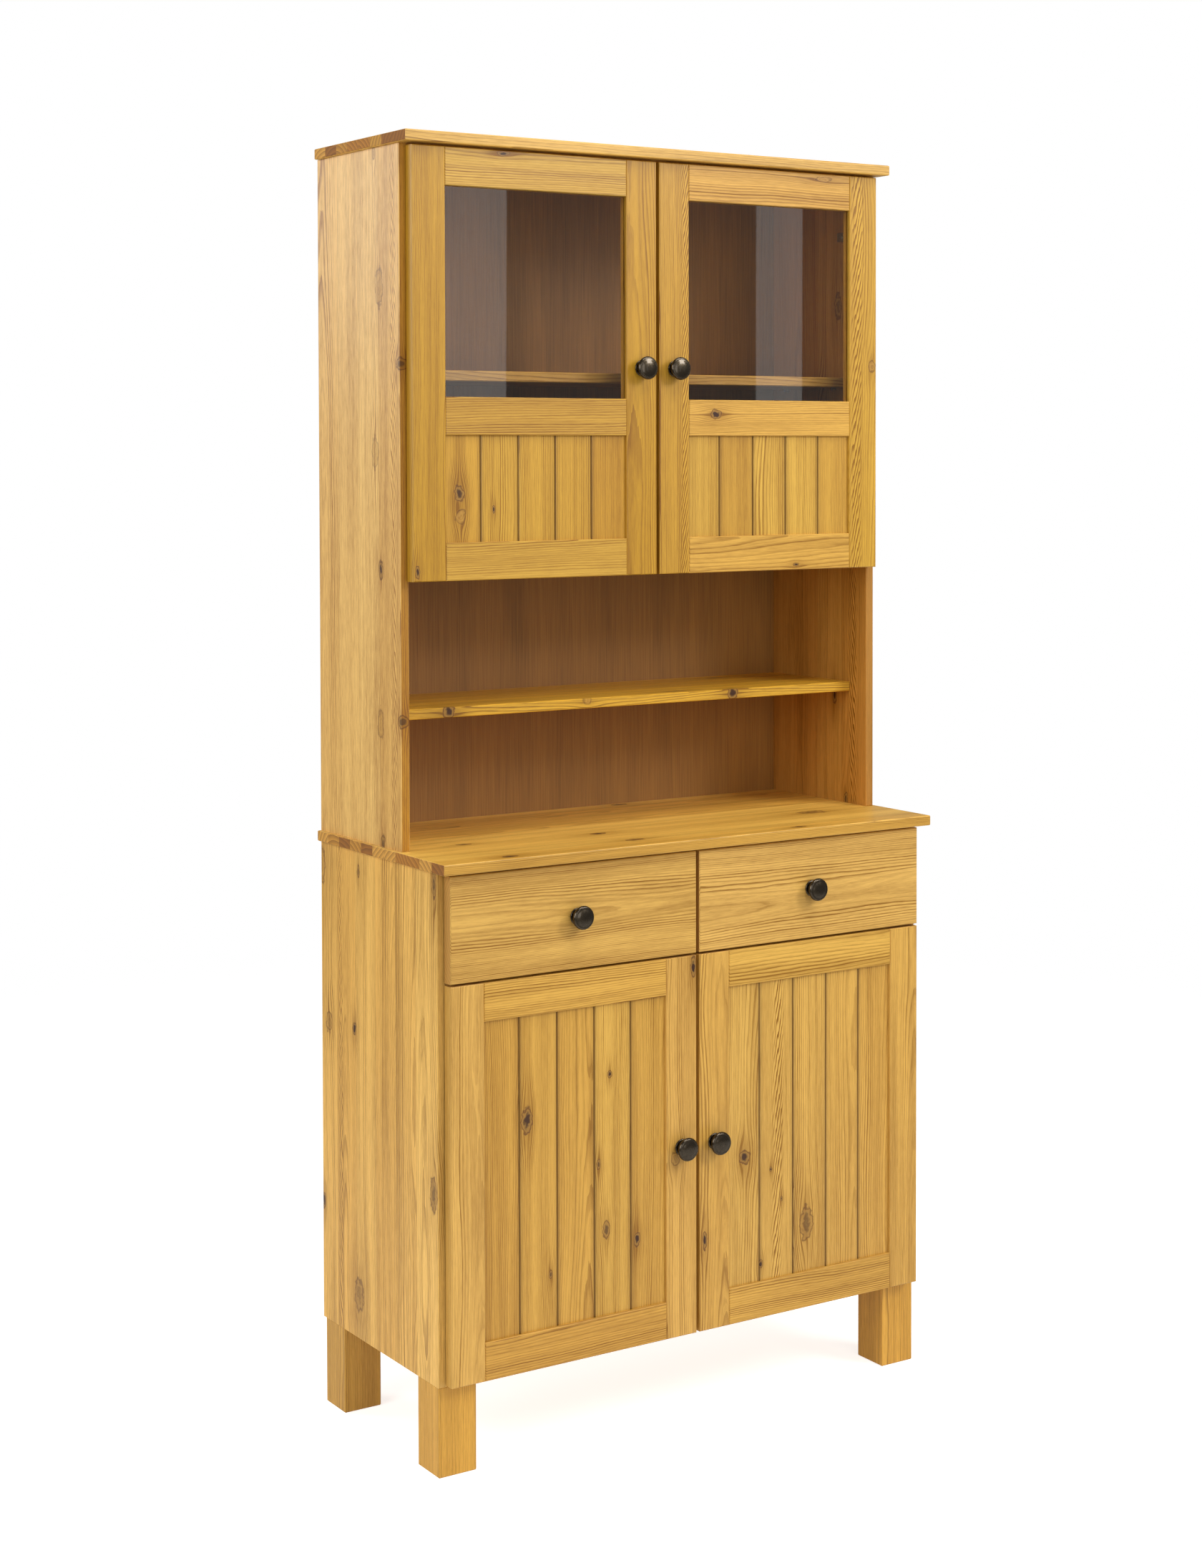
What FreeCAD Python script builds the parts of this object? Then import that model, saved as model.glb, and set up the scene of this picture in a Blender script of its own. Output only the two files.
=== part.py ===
import FreeCAD, Part
import Sketcher
import math
import os
import re

# Dresser with a glazed hutch, in solid pine boards.
#
# Frame: millimetres, +Z up, the front faces -Y, and the origin is on the floor
# below the middle of the whole dresser, knobs included.
# The lower cabinet stands on four square legs and holds two cupboard doors
# under two drawers. The hutch stands on its counter: an open niche with a
# shelf, and above it a cabinet behind two doors, each with a glass light over
# a tongue-and-groove panel. Every door is a frame of stiles and rails on two
# concealed hinges, and every drawer runs on wooden battens.

SIZES = [
    # whole dresser
    ("total_height", 1900),
    ("carcass_width", 862),
    ("top_overhang", 6),
    ("edge_radius", 2),
    ("edge_bevel", 1.2),
    # carcass boards
    ("side_thickness", 14),
    ("floor_thickness", 16),
    ("shelf_thickness", 15),
    ("divider_thickness", 14),
    ("shelf_play", 1),
    # thin back panels, each in a rebate of the sides
    ("back_thickness", 4),
    ("back_recess", 3),
    ("back_lap", 7),
    ("back_play", 0.5),
    # lower cabinet
    ("leg_height", 129),
    ("leg_width", 61),
    ("leg_side_inset", 1),
    ("leg_front_inset", 2.5),
    ("leg_back_inset", 6),
    ("base_depth", 359.5),
    ("counter_height", 873),
    ("counter_depth", 391.5),
    ("counter_thickness", 16),
    ("base_shelf_lift", 262),
    ("base_shelf_depth", 300),
    # hutch
    ("hutch_depth", 256.5),
    ("cornice_thickness", 16),
    ("cornice_depth", 286),
    ("cornice_setback", 2.5),
    ("niche_shelf_lift", 183.5),
    ("hutch_shelf_depth", 207.5),
    ("cabinet_shelf_lift", 271),
    ("cabinet_floor_lap", 2),
    # fronts: gaps behind, between and beside the doors and drawers
    ("door_gap", 2),
    ("pair_gap", 5.7),
    ("front_gap", 3.5),
    ("side_reveal", 10.5),
    # door frames
    ("door_thickness", 18),
    ("stile_width", 54),
    ("rail_height", 55),
    ("tenon_shoulder", 8),
    ("tenon_length", 7.5),
    ("light_height", 301.5),
    ("short_panel_height", 154),
    # tongue-and-groove panels
    ("panel_thickness", 8),
    ("panel_setback", 5),
    ("panel_lap", 7),
    ("panel_groove_depth", 8),
    ("plank_pitch", 63.3),
    ("plank_bevel", 2.2),
    ("tongue_length", 4.5),
    ("tongue_thickness", 2.6),
    ("tongue_play", 0.2),
    # glass and its beads
    ("glass_thickness", 4),
    ("glass_setback", 6),
    ("glass_lap", 7),
    ("glass_play", 0.5),
    # drawers
    ("drawer_height", 151.5),
    ("drawer_depth", 330),
    ("drawer_side_height", 110),
    ("drawer_side_thickness", 12),
    ("drawer_side_play", 2),
    ("drawer_lift", 6),
    ("drawer_bottom_thickness", 4),
    ("drawer_bottom_lift", 10),
    ("drawer_bottom_lap", 5),
    ("drawer_bottom_play", 0.25),
    ("runner_groove_depth", 6),
    ("runner_groove_height", 17),
    ("runner_groove_lift", 47),
    ("runner_length", 300),
    ("runner_setback", 10),
    ("running_gap", 0.3),
    # knobs
    ("knob_height", 22),
    ("knob_radius", 17.4),
    ("knob_head", 7),
    ("rosette_radius", 12.5),
    ("rosette_thickness", 2.5),
    ("neck_radius", 7.5),
    # concealed hinges
    ("cup_radius", 17.5),
    ("cup_depth", 11.5),
    ("cup_wall", 1.2),
    ("cup_play", 0.2),
    ("cup_edge", 3),
    ("hinge_end_distance", 90),
    ("flange_length", 52),
    ("flange_width", 14),
    ("flange_thickness", 1.2),
    ("arm_length", 62),
    ("arm_width", 14),
    ("arm_rise", 14),
    ("arm_nose", 8),
    ("arm_shoulder", 21),
    ("arm_heel", 10),
    ("arm_standoff", 1),
    ("hinge_plate_length", 38),
    ("hinge_plate_setback", 4),
    ("hinge_plate_width", 48),
    ("hinge_plate_thickness", 2.5),
    # shelf pins
    ("pin_radius", 2.5),
    ("pin_depth", 9),
    ("pin_play", 0.1),
    ("pin_inset", 40),
    ("pin_reach", 8),
]

doc = FreeCAD.newDocument("dresser_with_hutch")
sheet = doc.addObject("Spreadsheet::Sheet", "Sizes")
for row, (size_name, number) in enumerate(SIZES, start=1):
    sheet.set(f"A{row}", size_name.replace("_", " "))
    sheet.set(f"B{row}", str(number))
    sheet.setAlias(f"B{row}", size_name)
doc.recompute()

# Places and lengths that several pieces share, as expressions of the sizes.
BACK = "(base_depth + door_gap + door_thickness + knob_height) / 2"
BACK_PANEL = f"({BACK} - back_recess - back_thickness)"
TOP_WIDTH = "(carcass_width + 2 * top_overhang)"
SIDE_LEFT = "(-carcass_width / 2)"
SIDE_RIGHT = "(carcass_width / 2 - side_thickness)"
INNER_LEFT = "(-carcass_width / 2 + side_thickness)"
INNER_WIDTH = "(carcass_width - 2 * side_thickness)"
BASE_FRONT = f"({BACK} - base_depth)"
HUTCH_FRONT = f"({BACK} - hutch_depth)"
REBATE_DEPTH = "(back_recess + back_thickness)"
COUNTER_UNDERSIDE = "(counter_height - counter_thickness)"
CORNICE_UNDERSIDE = "(total_height - cornice_thickness)"
FRONT_WIDTH = "((carcass_width - 2 * side_reveal - pair_gap) / 2)"
FRONT_LEFT = {"left": "(-carcass_width / 2 + side_reveal)", "right": "(pair_gap / 2)"}
RAIL_LENGTH = f"({FRONT_WIDTH} - 2 * stile_width)"
DRAWER_BOTTOM = f"({COUNTER_UNDERSIDE} - front_gap - drawer_height)"
DRAWER_BOARD = f"({DRAWER_BOTTOM} - front_gap / 2 - floor_thickness / 2)"
DRAWER_BOX_LIFT = "(floor_thickness / 2 - front_gap / 2 + drawer_lift)"
DRAWER_BOX_WIDTH = "(carcass_width / 2 - side_thickness - divider_thickness / 2 - 2 * drawer_side_play)"
UPPER_DOOR_HEIGHT = "(3 * rail_height + light_height + short_panel_height)"
UPPER_DOOR_BOTTOM = f"({CORNICE_UNDERSIDE} - front_gap - {UPPER_DOOR_HEIGHT})"
LOWER_DOOR_BOTTOM = "(leg_height + front_gap)"
LOWER_DOOR_HEIGHT = f"({DRAWER_BOTTOM} - front_gap - {LOWER_DOOR_BOTTOM})"
LONG_PANEL_HEIGHT = f"({LOWER_DOOR_HEIGHT} - 2 * rail_height)"
CABINET_FLOOR = f"({UPPER_DOOR_BOTTOM} + cabinet_floor_lap)"
LIGHT_BOTTOM = "(2 * rail_height + short_panel_height)"
BASE_SHELF = "(leg_height + floor_thickness + base_shelf_lift)"
CABINET_SHELF = f"({CABINET_FLOOR} + floor_thickness + cabinet_shelf_lift)"
PLANKS = 5
FORWARD = FreeCAD.Rotation(FreeCAD.Vector(1, 0, 0), 90)
parts = []


def bound(words):
    """Turn each size name in an expression into a reference to its cell."""
    return re.sub(r"[a-z][a-z_]*", lambda found: "Sizes." + found.group(), words)


def place(piece, corner, rotation=None):
    """Turn a piece, then bind the place of its own origin to the sizes."""
    if rotation:
        piece.Placement = FreeCAD.Placement(FreeCAD.Vector(), rotation)
    for axis, words in zip("xyz", corner):
        piece.setExpression("Placement.Base." + axis, bound(words))
    return piece


def shifted(corner, offset):
    """Add an offset to a place, both given as expressions."""
    return tuple(f"{start} + {step}" for start, step in zip(corner, offset))


def part(piece):
    """Keep a finished sub-part, which is written to a file of its own."""
    parts.append(piece)
    return piece


def group(label, corner, members):
    """Gather like pieces, each a solid of its own, under one name."""
    compound = doc.addObject("Part::Compound", label)
    compound.Label = label
    compound.Links = members
    return part(place(compound, corner))


def new_body(label):
    body = doc.addObject("PartDesign::Body", label)
    body.Label = label
    return body


def new_sketch(body, role, offset):
    """Attach a sketch to one of the body's own planes, shifted along and off it."""
    plane = next(feature for feature in body.Origin.OriginFeatures if feature.Role == role)
    sketch = body.newObject("Sketcher::SketchObject", body.Name + "_sketch")
    sketch.AttachmentSupport = (plane, [""])
    sketch.MapMode = "FlatFace"
    for axis, words in zip("xyz", offset):
        sketch.setExpression("AttachmentOffset.Base." + axis, bound(words))
    return sketch


def fix_point(sketch, line, end, now, wanted):
    """Bind both distances of a sketch point from the sketch's origin."""
    for kind, start, words in zip(("DistanceX", "DistanceY"), now, wanted):
        number = sketch.addConstraint(Sketcher.Constraint(kind, -1, 1, line, end, start))
        sketch.setExpression(f"Constraints[{number}]", bound(words))


def outline(body, role, points, offset=("0", "0", "0")):
    """Sketch a closed outline of straight lines through points given as expressions."""
    sketch = new_sketch(body, role, offset)
    turn = 2 * math.pi / len(points)
    # The points start on a circle, in their order, and the constraints move them home.
    start = [FreeCAD.Vector(60 + 50 * math.cos(k * turn), 60 + 50 * math.sin(k * turn), 0)
             for k in range(len(points))]
    for k in range(len(points)):
        sketch.addGeometry(Part.LineSegment(start[k], start[(k + 1) % len(points)]), False)
    for k in range(len(points)):
        sketch.addConstraint(Sketcher.Constraint("Coincident", k, 2, (k + 1) % len(points), 1))
    for k, wanted in enumerate(points):
        fix_point(sketch, k, 1, (start[k].x, start[k].y), wanted)
    return sketch


def rectangle(body, role, wide, tall, offset=("0", "0", "0")):
    return outline(body, role, [("0", "0"), (wide, "0"), (wide, tall), ("0", tall)], offset)


def circle(body, role, radius, centre, offset=("0", "0", "0")):
    sketch = new_sketch(body, role, offset)
    sketch.addGeometry(Part.Circle(FreeCAD.Vector(60, 60, 0), FreeCAD.Vector(0, 0, 1), 5), False)
    number = sketch.addConstraint(Sketcher.Constraint("Radius", 0, 5))
    sketch.setExpression(f"Constraints[{number}]", bound(radius))
    fix_point(sketch, 0, 3, (60, 60), centre)
    return sketch


def pad(body, sketch, length):
    """Raise a sketch along its plane's normal."""
    feature = body.newObject("PartDesign::Pad", body.Name + "_pad")
    feature.Profile = sketch
    feature.setExpression("Length", bound(length))
    body.Tip = feature
    doc.recompute()
    return feature


def cut(body, sketch, depth):
    """Cut a sketch out of the body, along its plane's normal."""
    volume = body.Shape.Volume
    feature = body.newObject("PartDesign::Pocket", body.Name + "_cut")
    feature.Profile = sketch
    feature.Reversed = True
    feature.setExpression("Length", bound(depth))
    body.Tip = feature
    doc.recompute()
    if body.Shape.Volume >= volume:
        raise RuntimeError(body.Label + ": a cut removed nothing")
    return feature


def edges_on(shape, sides):
    """Name the edges that lie on the given sides of a shape's box."""
    box = shape.BoundBox
    limits = {
        "left": lambda edge: edge.XMax < box.XMin + 0.01,
        "right": lambda edge: edge.XMin > box.XMax - 0.01,
        "front": lambda edge: edge.YMax < box.YMin + 0.01,
        "back": lambda edge: edge.YMin > box.YMax - 0.01,
        "bottom": lambda edge: edge.ZMax < box.ZMin + 0.01,
        "top": lambda edge: edge.ZMin > box.ZMax - 0.01,
    }
    tests = [limits[side] for side in sides.split()]
    return [f"Edge{number}" for number, edge in enumerate(shape.Edges, start=1)
            if any(test(edge.BoundBox) for test in tests)]


def dress(body, kind, setting, size, sides):
    """Work the edges on some sides of the last feature."""
    base = body.Tip
    feature = body.newObject("PartDesign::" + kind, f"{body.Name}_{kind.lower()}")
    feature.Base = (base, edges_on(base.Shape, sides))
    feature.setExpression(setting, bound(size))
    body.Tip = feature
    doc.recompute()
    return feature


def ease(body, sides):
    """Round the edges of the counter and the cornice."""
    return dress(body, "Fillet", "Radius", "edge_radius", sides)


def bevel(body, sides):
    """Break the sharp edges of fronts, frames, shelves and legs."""
    return dress(body, "Chamfer", "Size", "edge_bevel", sides)


def board(label, corner, wide, deep, tall, bevelled=""):
    """A plain board, its edges broken on the named sides."""
    body = new_body(label)
    pad(body, rectangle(body, "XY_Plane", wide, deep), tall)
    if bevelled:
        bevel(body, bevelled)
    return place(body, corner)


# --- Carcass sides: glued boards with a rebate for the back panel ---

def carcass_side(label, side, corner, deep, tall, pin_places):
    """A side board, its back inner edge rebated, with blind holes for shelf pins."""
    body = new_body(label)
    shoulder = f"{deep} - {REBATE_DEPTH}"
    points = [("0", "0"), ("side_thickness", "0"), ("side_thickness", shoulder),
              ("side_thickness - back_lap", shoulder), ("side_thickness - back_lap", deep), ("0", deep)]
    if side == "right":
        points = [(f"side_thickness - ({across})", along) for across, along in reversed(points)]
    pad(body, outline(body, "XY_Plane", points), tall)
    bevel(body, "front")
    start = {"left": "side_thickness - pin_depth", "right": "0"}[side]
    for along, height in pin_places:
        hole = circle(body, "YZ_Plane", "pin_radius", (along, height), ("0", "0", start))
        cut(body, hole, "pin_depth")
    return part(place(body, corner))


def pin_places(depth, shelf_depth, lift):
    """Depth and height, in a side's own frame, of the two pins under a shelf."""
    front = f"{depth} - {REBATE_DEPTH} - {shelf_depth} + pin_inset"
    back = f"{depth} - {REBATE_DEPTH} - pin_inset"
    level = f"{lift} - pin_radius + pin_play"
    return [(front, level), (back, level)]


base_pins = pin_places("base_depth", "base_shelf_depth", f"{BASE_SHELF} - leg_height")
hutch_pins = pin_places("hutch_depth", "hutch_shelf_depth", f"{CABINET_SHELF} - counter_height")
for side, left in (("left", SIDE_LEFT), ("right", SIDE_RIGHT)):
    carcass_side(f"base_side_{side}", side, (left, BASE_FRONT, "leg_height"), "base_depth",
                 f"({COUNTER_UNDERSIDE} - leg_height)", base_pins)
    carcass_side(f"hutch_side_{side}", side, (left, HUTCH_FRONT, "counter_height"), "hutch_depth",
                 f"({CORNICE_UNDERSIDE} - counter_height)", hutch_pins)


# --- Lower cabinet ---

counter = board("counter_top", (f"-{TOP_WIDTH} / 2", f"{BACK} - counter_depth", COUNTER_UNDERSIDE),
                TOP_WIDTH, "counter_depth", "counter_thickness")
ease(counter, "bottom top")
part(counter)
BASE_INNER_DEPTH = f"(base_depth - {REBATE_DEPTH})"
part(board("base_floor", (INNER_LEFT, BASE_FRONT, "leg_height"),
           INNER_WIDTH, BASE_INNER_DEPTH, "floor_thickness", "front"))
part(board("drawer_board", (INNER_LEFT, BASE_FRONT, DRAWER_BOARD),
           INNER_WIDTH, BASE_INNER_DEPTH, "floor_thickness", "front"))
part(board("drawer_divider", ("-divider_thickness / 2", BASE_FRONT, f"{DRAWER_BOARD} + floor_thickness"),
           "divider_thickness", BASE_INNER_DEPTH,
           f"{COUNTER_UNDERSIDE} - {DRAWER_BOARD} - floor_thickness", "front"))
part(board("base_shelf", (f"{INNER_LEFT} + shelf_play", f"{BACK_PANEL} - base_shelf_depth", BASE_SHELF),
           f"{INNER_WIDTH} - 2 * shelf_play", "base_shelf_depth", "shelf_thickness", "front"))


def back_panel(label, bottom, tall):
    """A thin panel that lies in the rebates of both sides."""
    corner = (f"{INNER_LEFT} - back_lap + back_play", BACK_PANEL, bottom)
    wide = f"{INNER_WIDTH} + 2 * back_lap - 2 * back_play"
    return part(board(label, corner, wide, "back_thickness", tall))


back_panel("base_back", "leg_height", f"{COUNTER_UNDERSIDE} - leg_height")
back_panel("hutch_back", "counter_height", f"{CORNICE_UNDERSIDE} - counter_height")

LEG_SIDES = {
    "left": "-carcass_width / 2 + leg_side_inset",
    "right": "carcass_width / 2 - leg_side_inset - leg_width",
}
LEG_ENDS = {
    "front": f"{BASE_FRONT} + leg_front_inset",
    "rear": f"{BACK} - leg_back_inset - leg_width",
}
for end, along in LEG_ENDS.items():
    for side, across in LEG_SIDES.items():
        part(board(f"leg_{end}_{side}", (across, along, "0"), "leg_width", "leg_width", "leg_height",
                   "front back left right bottom top"))


# --- Hutch ---

HUTCH_INNER_DEPTH = f"(hutch_depth - {REBATE_DEPTH})"
cornice_front = f"{BACK} - cornice_setback - cornice_depth"
cornice = board("cornice", (f"-{TOP_WIDTH} / 2", cornice_front, CORNICE_UNDERSIDE),
                TOP_WIDTH, "cornice_depth", "cornice_thickness")
ease(cornice, "bottom top")
part(cornice)
part(board("cabinet_floor", (INNER_LEFT, HUTCH_FRONT, CABINET_FLOOR),
           INNER_WIDTH, HUTCH_INNER_DEPTH, "floor_thickness", "front"))
part(board("cabinet_shelf", (f"{INNER_LEFT} + shelf_play", f"{BACK_PANEL} - hutch_shelf_depth", CABINET_SHELF),
           f"{INNER_WIDTH} - 2 * shelf_play", "hutch_shelf_depth", "shelf_thickness", "front"))
NICHE_SHELF = "counter_height + niche_shelf_lift"
part(board("niche_shelf", (INNER_LEFT, f"{BACK_PANEL} - hutch_shelf_depth", NICHE_SHELF),
           INNER_WIDTH, "hutch_shelf_depth", "shelf_thickness", "front"))


# --- Shelf pins: plain pins in the sides, with the shelves lying on them ---

def shelf_pin(number, side, along, underside):
    """One pin, its top against the shelf's underside."""
    inward = {"left": 1, "right": -1}[side]
    wall = {"left": INNER_LEFT, "right": SIDE_RIGHT}[side]
    pin = doc.addObject("Part::Cylinder", f"pin_{number}")
    pin.setExpression("Radius", bound("pin_radius - pin_play"))
    pin.setExpression("Height", bound("pin_depth - pin_play + pin_reach"))
    start = f"{wall} - {inward} * (pin_depth - pin_play)"
    place(pin, (start, along, f"{underside} - pin_radius + pin_play"),
          FreeCAD.Rotation(FreeCAD.Vector(0, 1, 0), 90 * inward))
    return pin


pins = []
for underside, shelf_depth in ((BASE_SHELF, "base_shelf_depth"), (CABINET_SHELF, "hutch_shelf_depth")):
    for side in ("left", "right"):
        for along in (f"{BACK_PANEL} - {shelf_depth} + pin_inset", f"{BACK_PANEL} - pin_inset"):
            pins.append(shelf_pin(len(pins) + 1, side, along, underside))
group("shelf_pins", ("0", "0", "0"), pins)


# --- Drawer runners: battens on the sides and the divider ---

RUNNER_THICKNESS = "(drawer_side_play + runner_groove_depth - running_gap)"
RUNNER_Z = f"({DRAWER_BOTTOM} + {DRAWER_BOX_LIFT} + runner_groove_lift + running_gap)"
RUNNER_LEFTS = {
    "left": (INNER_LEFT, f"-divider_thickness / 2 - {RUNNER_THICKNESS}"),
    "right": ("divider_thickness / 2", f"{SIDE_RIGHT} - {RUNNER_THICKNESS}"),
}
for side, lefts in RUNNER_LEFTS.items():
    battens = [board(f"{side}_runner_{number}", (left, f"{BASE_FRONT} + runner_setback", RUNNER_Z),
                     RUNNER_THICKNESS, "runner_length", "runner_groove_height - 2 * running_gap")
               for number, left in enumerate(lefts, start=1)]
    group(f"{side}_drawer_runners", ("0", "0", "0"), battens)


# --- Knobs: turned, on a rosette ---

def knob(label, corner):
    """A knob; corner is the middle of its foot, on the front's face."""
    body = new_body(label)
    points = [("0", "0"), ("rosette_radius", "0"), ("rosette_radius", "rosette_thickness"),
              ("neck_radius", "rosette_thickness"), ("neck_radius", "knob_height - knob_head"),
              ("knob_radius", "knob_height - knob_head"), ("knob_radius", "knob_height"), ("0", "knob_height")]
    turning = body.newObject("PartDesign::Revolution", label + "_turning")
    turning.Profile = outline(body, "XZ_Plane", points)
    turning.ReferenceAxis = (turning.Profile[0], ["V_Axis"])
    turning.Angle = 360
    body.Tip = turning
    return part(place(body, corner, FORWARD))


# --- Concealed hinges: a cup in the stile and an arm on the carcass side ---

def hinge_cup(label, centre):
    """A pressed cup on its flange; centre is the cup's mouth, on the door's back."""
    body = new_body(label)
    flange = rectangle(body, "XY_Plane", "flange_width", "flange_length",
                       ("-flange_width / 2", "-flange_length / 2", "-flange_thickness"))
    pad(body, flange, "flange_thickness")
    pad(body, circle(body, "XY_Plane", "cup_radius - cup_play", ("0", "0")), "cup_depth - cup_play")
    mouth = circle(body, "XY_Plane", "cup_radius - cup_wall", ("0", "0"), ("0", "0", "-flange_thickness"))
    cut(body, mouth, "flange_thickness + cup_depth - cup_wall")
    return place(body, centre, FORWARD)


def hinge_arm(label, side, corner):
    """An arm on its plate; corner is on the carcass side's inner face, at the arm's nose."""
    body = new_body(label)
    points = [("arm_standoff", "0"), ("arm_standoff + arm_nose", "0"), ("arm_rise", "arm_shoulder"),
              ("arm_rise", "arm_length"), ("0", "arm_length"), ("0", "arm_heel")]
    pad(body, outline(body, "XY_Plane", points, ("0", "0", "-arm_width / 2")), "arm_width")
    plate = rectangle(body, "XY_Plane", "hinge_plate_thickness", "hinge_plate_length",
                      ("0", "arm_length - hinge_plate_length - hinge_plate_setback", "-hinge_plate_width / 2"))
    pad(body, plate, "hinge_plate_width")
    turned = FreeCAD.Rotation(FreeCAD.Vector(0, 1, 0), {"left": 0, "right": 180}[side])
    return place(body, corner, turned)


arms = []


def hinges(prefix, side, origin, height):
    """Cups on the door, and the arms that carry it on the carcass side."""
    across = {"left": "cup_edge + cup_radius", "right": f"{FRONT_WIDTH} - cup_edge - cup_radius"}[side]
    wall = {"left": INNER_LEFT, "right": SIDE_RIGHT}[side]
    cups = []
    for number, level in enumerate(("hinge_end_distance", f"{height} - hinge_end_distance"), start=1):
        cups.append(hinge_cup(f"{prefix}_cup_{number}", (across, "door_thickness", level)))
        nose = f"{origin[1]} + door_thickness + running_gap"
        arms.append(hinge_arm(f"{prefix}_arm_{number}", side, (wall, nose, f"{origin[2]} + {level}")))
    group(f"{prefix}_hinge_cups", origin, cups)


# --- Doors: stiles and rails around planks and glass ---

def stile(label, place_on_door, side, hung, height, panel_height, glazed):
    """An upright of a door: grooved for the planks and the rails' tenons, rebated for the glass."""
    body = new_body(label)
    pad(body, rectangle(body, "XY_Plane", "stile_width", "door_thickness"), height)
    bevel(body, "front")
    inner = {"left": "stile_width - {0}", "right": "0"}[side]
    groove_left = inner.format("panel_groove_depth")
    mortises = [("tenon_shoulder", f"{panel_height} + 2 * rail_height - 2 * tenon_shoulder")]
    if glazed:
        mortises.append((f"{height} - rail_height + tenon_shoulder", "rail_height - 2 * tenon_shoulder"))
    for start, length in mortises:
        groove = rectangle(body, "XY_Plane", "panel_groove_depth", "panel_thickness",
                           (groove_left, "panel_setback", start))
        cut(body, groove, length)
    if glazed:
        rebate = rectangle(body, "XY_Plane", "glass_lap", "door_thickness - glass_setback",
                           (inner.format("glass_lap"), "glass_setback", f"{LIGHT_BOTTOM} - glass_lap"))
        cut(body, rebate, "light_height + 2 * glass_lap")
    if hung:
        across = {"left": "cup_edge + cup_radius", "right": "stile_width - cup_edge - cup_radius"}[side]
        for level in ("hinge_end_distance", f"{height} - hinge_end_distance"):
            bore = circle(body, "XZ_Plane", "cup_radius", (across, level), ("0", "0", "-door_thickness"))
            cut(body, bore, "cup_depth")
    return place(body, place_on_door)


def rail(label, bottom, lower_edge, upper_edge):
    """A cross rail with stub tenons; each long edge is plain, grooved for planks or rebated for glass."""
    body = new_body(label)
    groove = [("panel_setback", "0"), ("panel_setback", "panel_groove_depth"),
              ("panel_setback + panel_thickness", "panel_groove_depth"),
              ("panel_setback + panel_thickness", "0"), ("door_thickness", "0")]
    rebate = [("glass_setback", "0"), ("glass_setback", "glass_lap"), ("door_thickness", "glass_lap")]
    edges = {"plain": [("door_thickness", "0")], "groove": groove, "rebate": rebate}
    points = [("0", "0")] + edges[lower_edge]
    points += [(along, f"rail_height - {up}") for along, up in reversed(edges[upper_edge])]
    points += [("0", "rail_height")]
    pad(body, outline(body, "YZ_Plane", points), RAIL_LENGTH)
    bevel(body, "front")
    tenons = rectangle(body, "YZ_Plane", "panel_thickness", "rail_height - 2 * tenon_shoulder",
                       ("panel_setback", "tenon_shoulder", "-tenon_length"))
    pad(body, tenons, f"{RAIL_LENGTH} + 2 * tenon_length")
    return place(body, ("stile_width", "0", bottom))


def planks(label, origin, panel_height):
    """Tongue-and-groove planks side by side, bevelled where they meet."""
    panel_width = f"({RAIL_LENGTH} + 2 * panel_lap)"
    slot = "(tongue_thickness + tongue_play)"
    members = []
    for number in range(PLANKS):
        seam = [f"({panel_width} / 2 + {k - PLANKS / 2} * plank_pitch)" for k in (number, number + 1)]
        first, last = number == 0, number == PLANKS - 1
        left, right = "0" if first else seam[0], panel_width if last else seam[1]
        points = [(left, "0")]
        if not first:
            low, high = f"(panel_thickness - {slot}) / 2", f"(panel_thickness + {slot}) / 2"
            deep = f"{left} + tongue_length + tongue_play"
            points = [(f"{left} + plank_bevel", "0"), (left, "plank_bevel"), (left, low),
                      (deep, low), (deep, high), (left, high)]
        points += [(left, "panel_thickness"), (right, "panel_thickness")]
        if last:
            points += [(right, "0")]
        else:
            low, high = "(panel_thickness - tongue_thickness) / 2", "(panel_thickness + tongue_thickness) / 2"
            points += [(right, high), (f"{right} + tongue_length", high), (f"{right} + tongue_length", low),
                       (right, low), (right, "plank_bevel"), (f"{right} - plank_bevel", "0")]
        body = new_body(f"{label}_{number + 1}")
        pad(body, outline(body, "XY_Plane", points), f"{panel_height} + 2 * panel_lap")
        members.append(place(body, ("stile_width - panel_lap", "panel_setback", "rail_height - panel_lap")))
    return group(label, origin, members)


def glazing(prefix, origin):
    """A pane against the frame's rebate, and the four beads that hold it."""
    pane = board(f"{prefix}_glass",
                 shifted(origin, ("stile_width - glass_lap + glass_play", "glass_setback",
                                  f"{LIGHT_BOTTOM} - glass_lap + glass_play")),
                 f"{RAIL_LENGTH} + 2 * glass_lap - 2 * glass_play", "glass_thickness",
                 "light_height + 2 * glass_lap - 2 * glass_play")
    part(pane)
    bead = "door_thickness - glass_setback - glass_thickness"
    behind = "glass_setback + glass_thickness"
    left, right = "stile_width - glass_lap", f"stile_width + {RAIL_LENGTH}"
    low, high = f"{LIGHT_BOTTOM} - glass_lap", f"{LIGHT_BOTTOM} + light_height"
    tall = "light_height + 2 * glass_lap"
    beads = [board(f"{prefix}_bead_{name}", (across, behind, low), "glass_lap", bead, tall)
             for name, across in (("left", left), ("right", right))]
    beads += [board(f"{prefix}_bead_{name}", ("stile_width", behind, level), RAIL_LENGTH, bead, "glass_lap")
              for name, level in (("bottom", low), ("top", high))]
    group(f"{prefix}_glass_beads", origin, beads)


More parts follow.
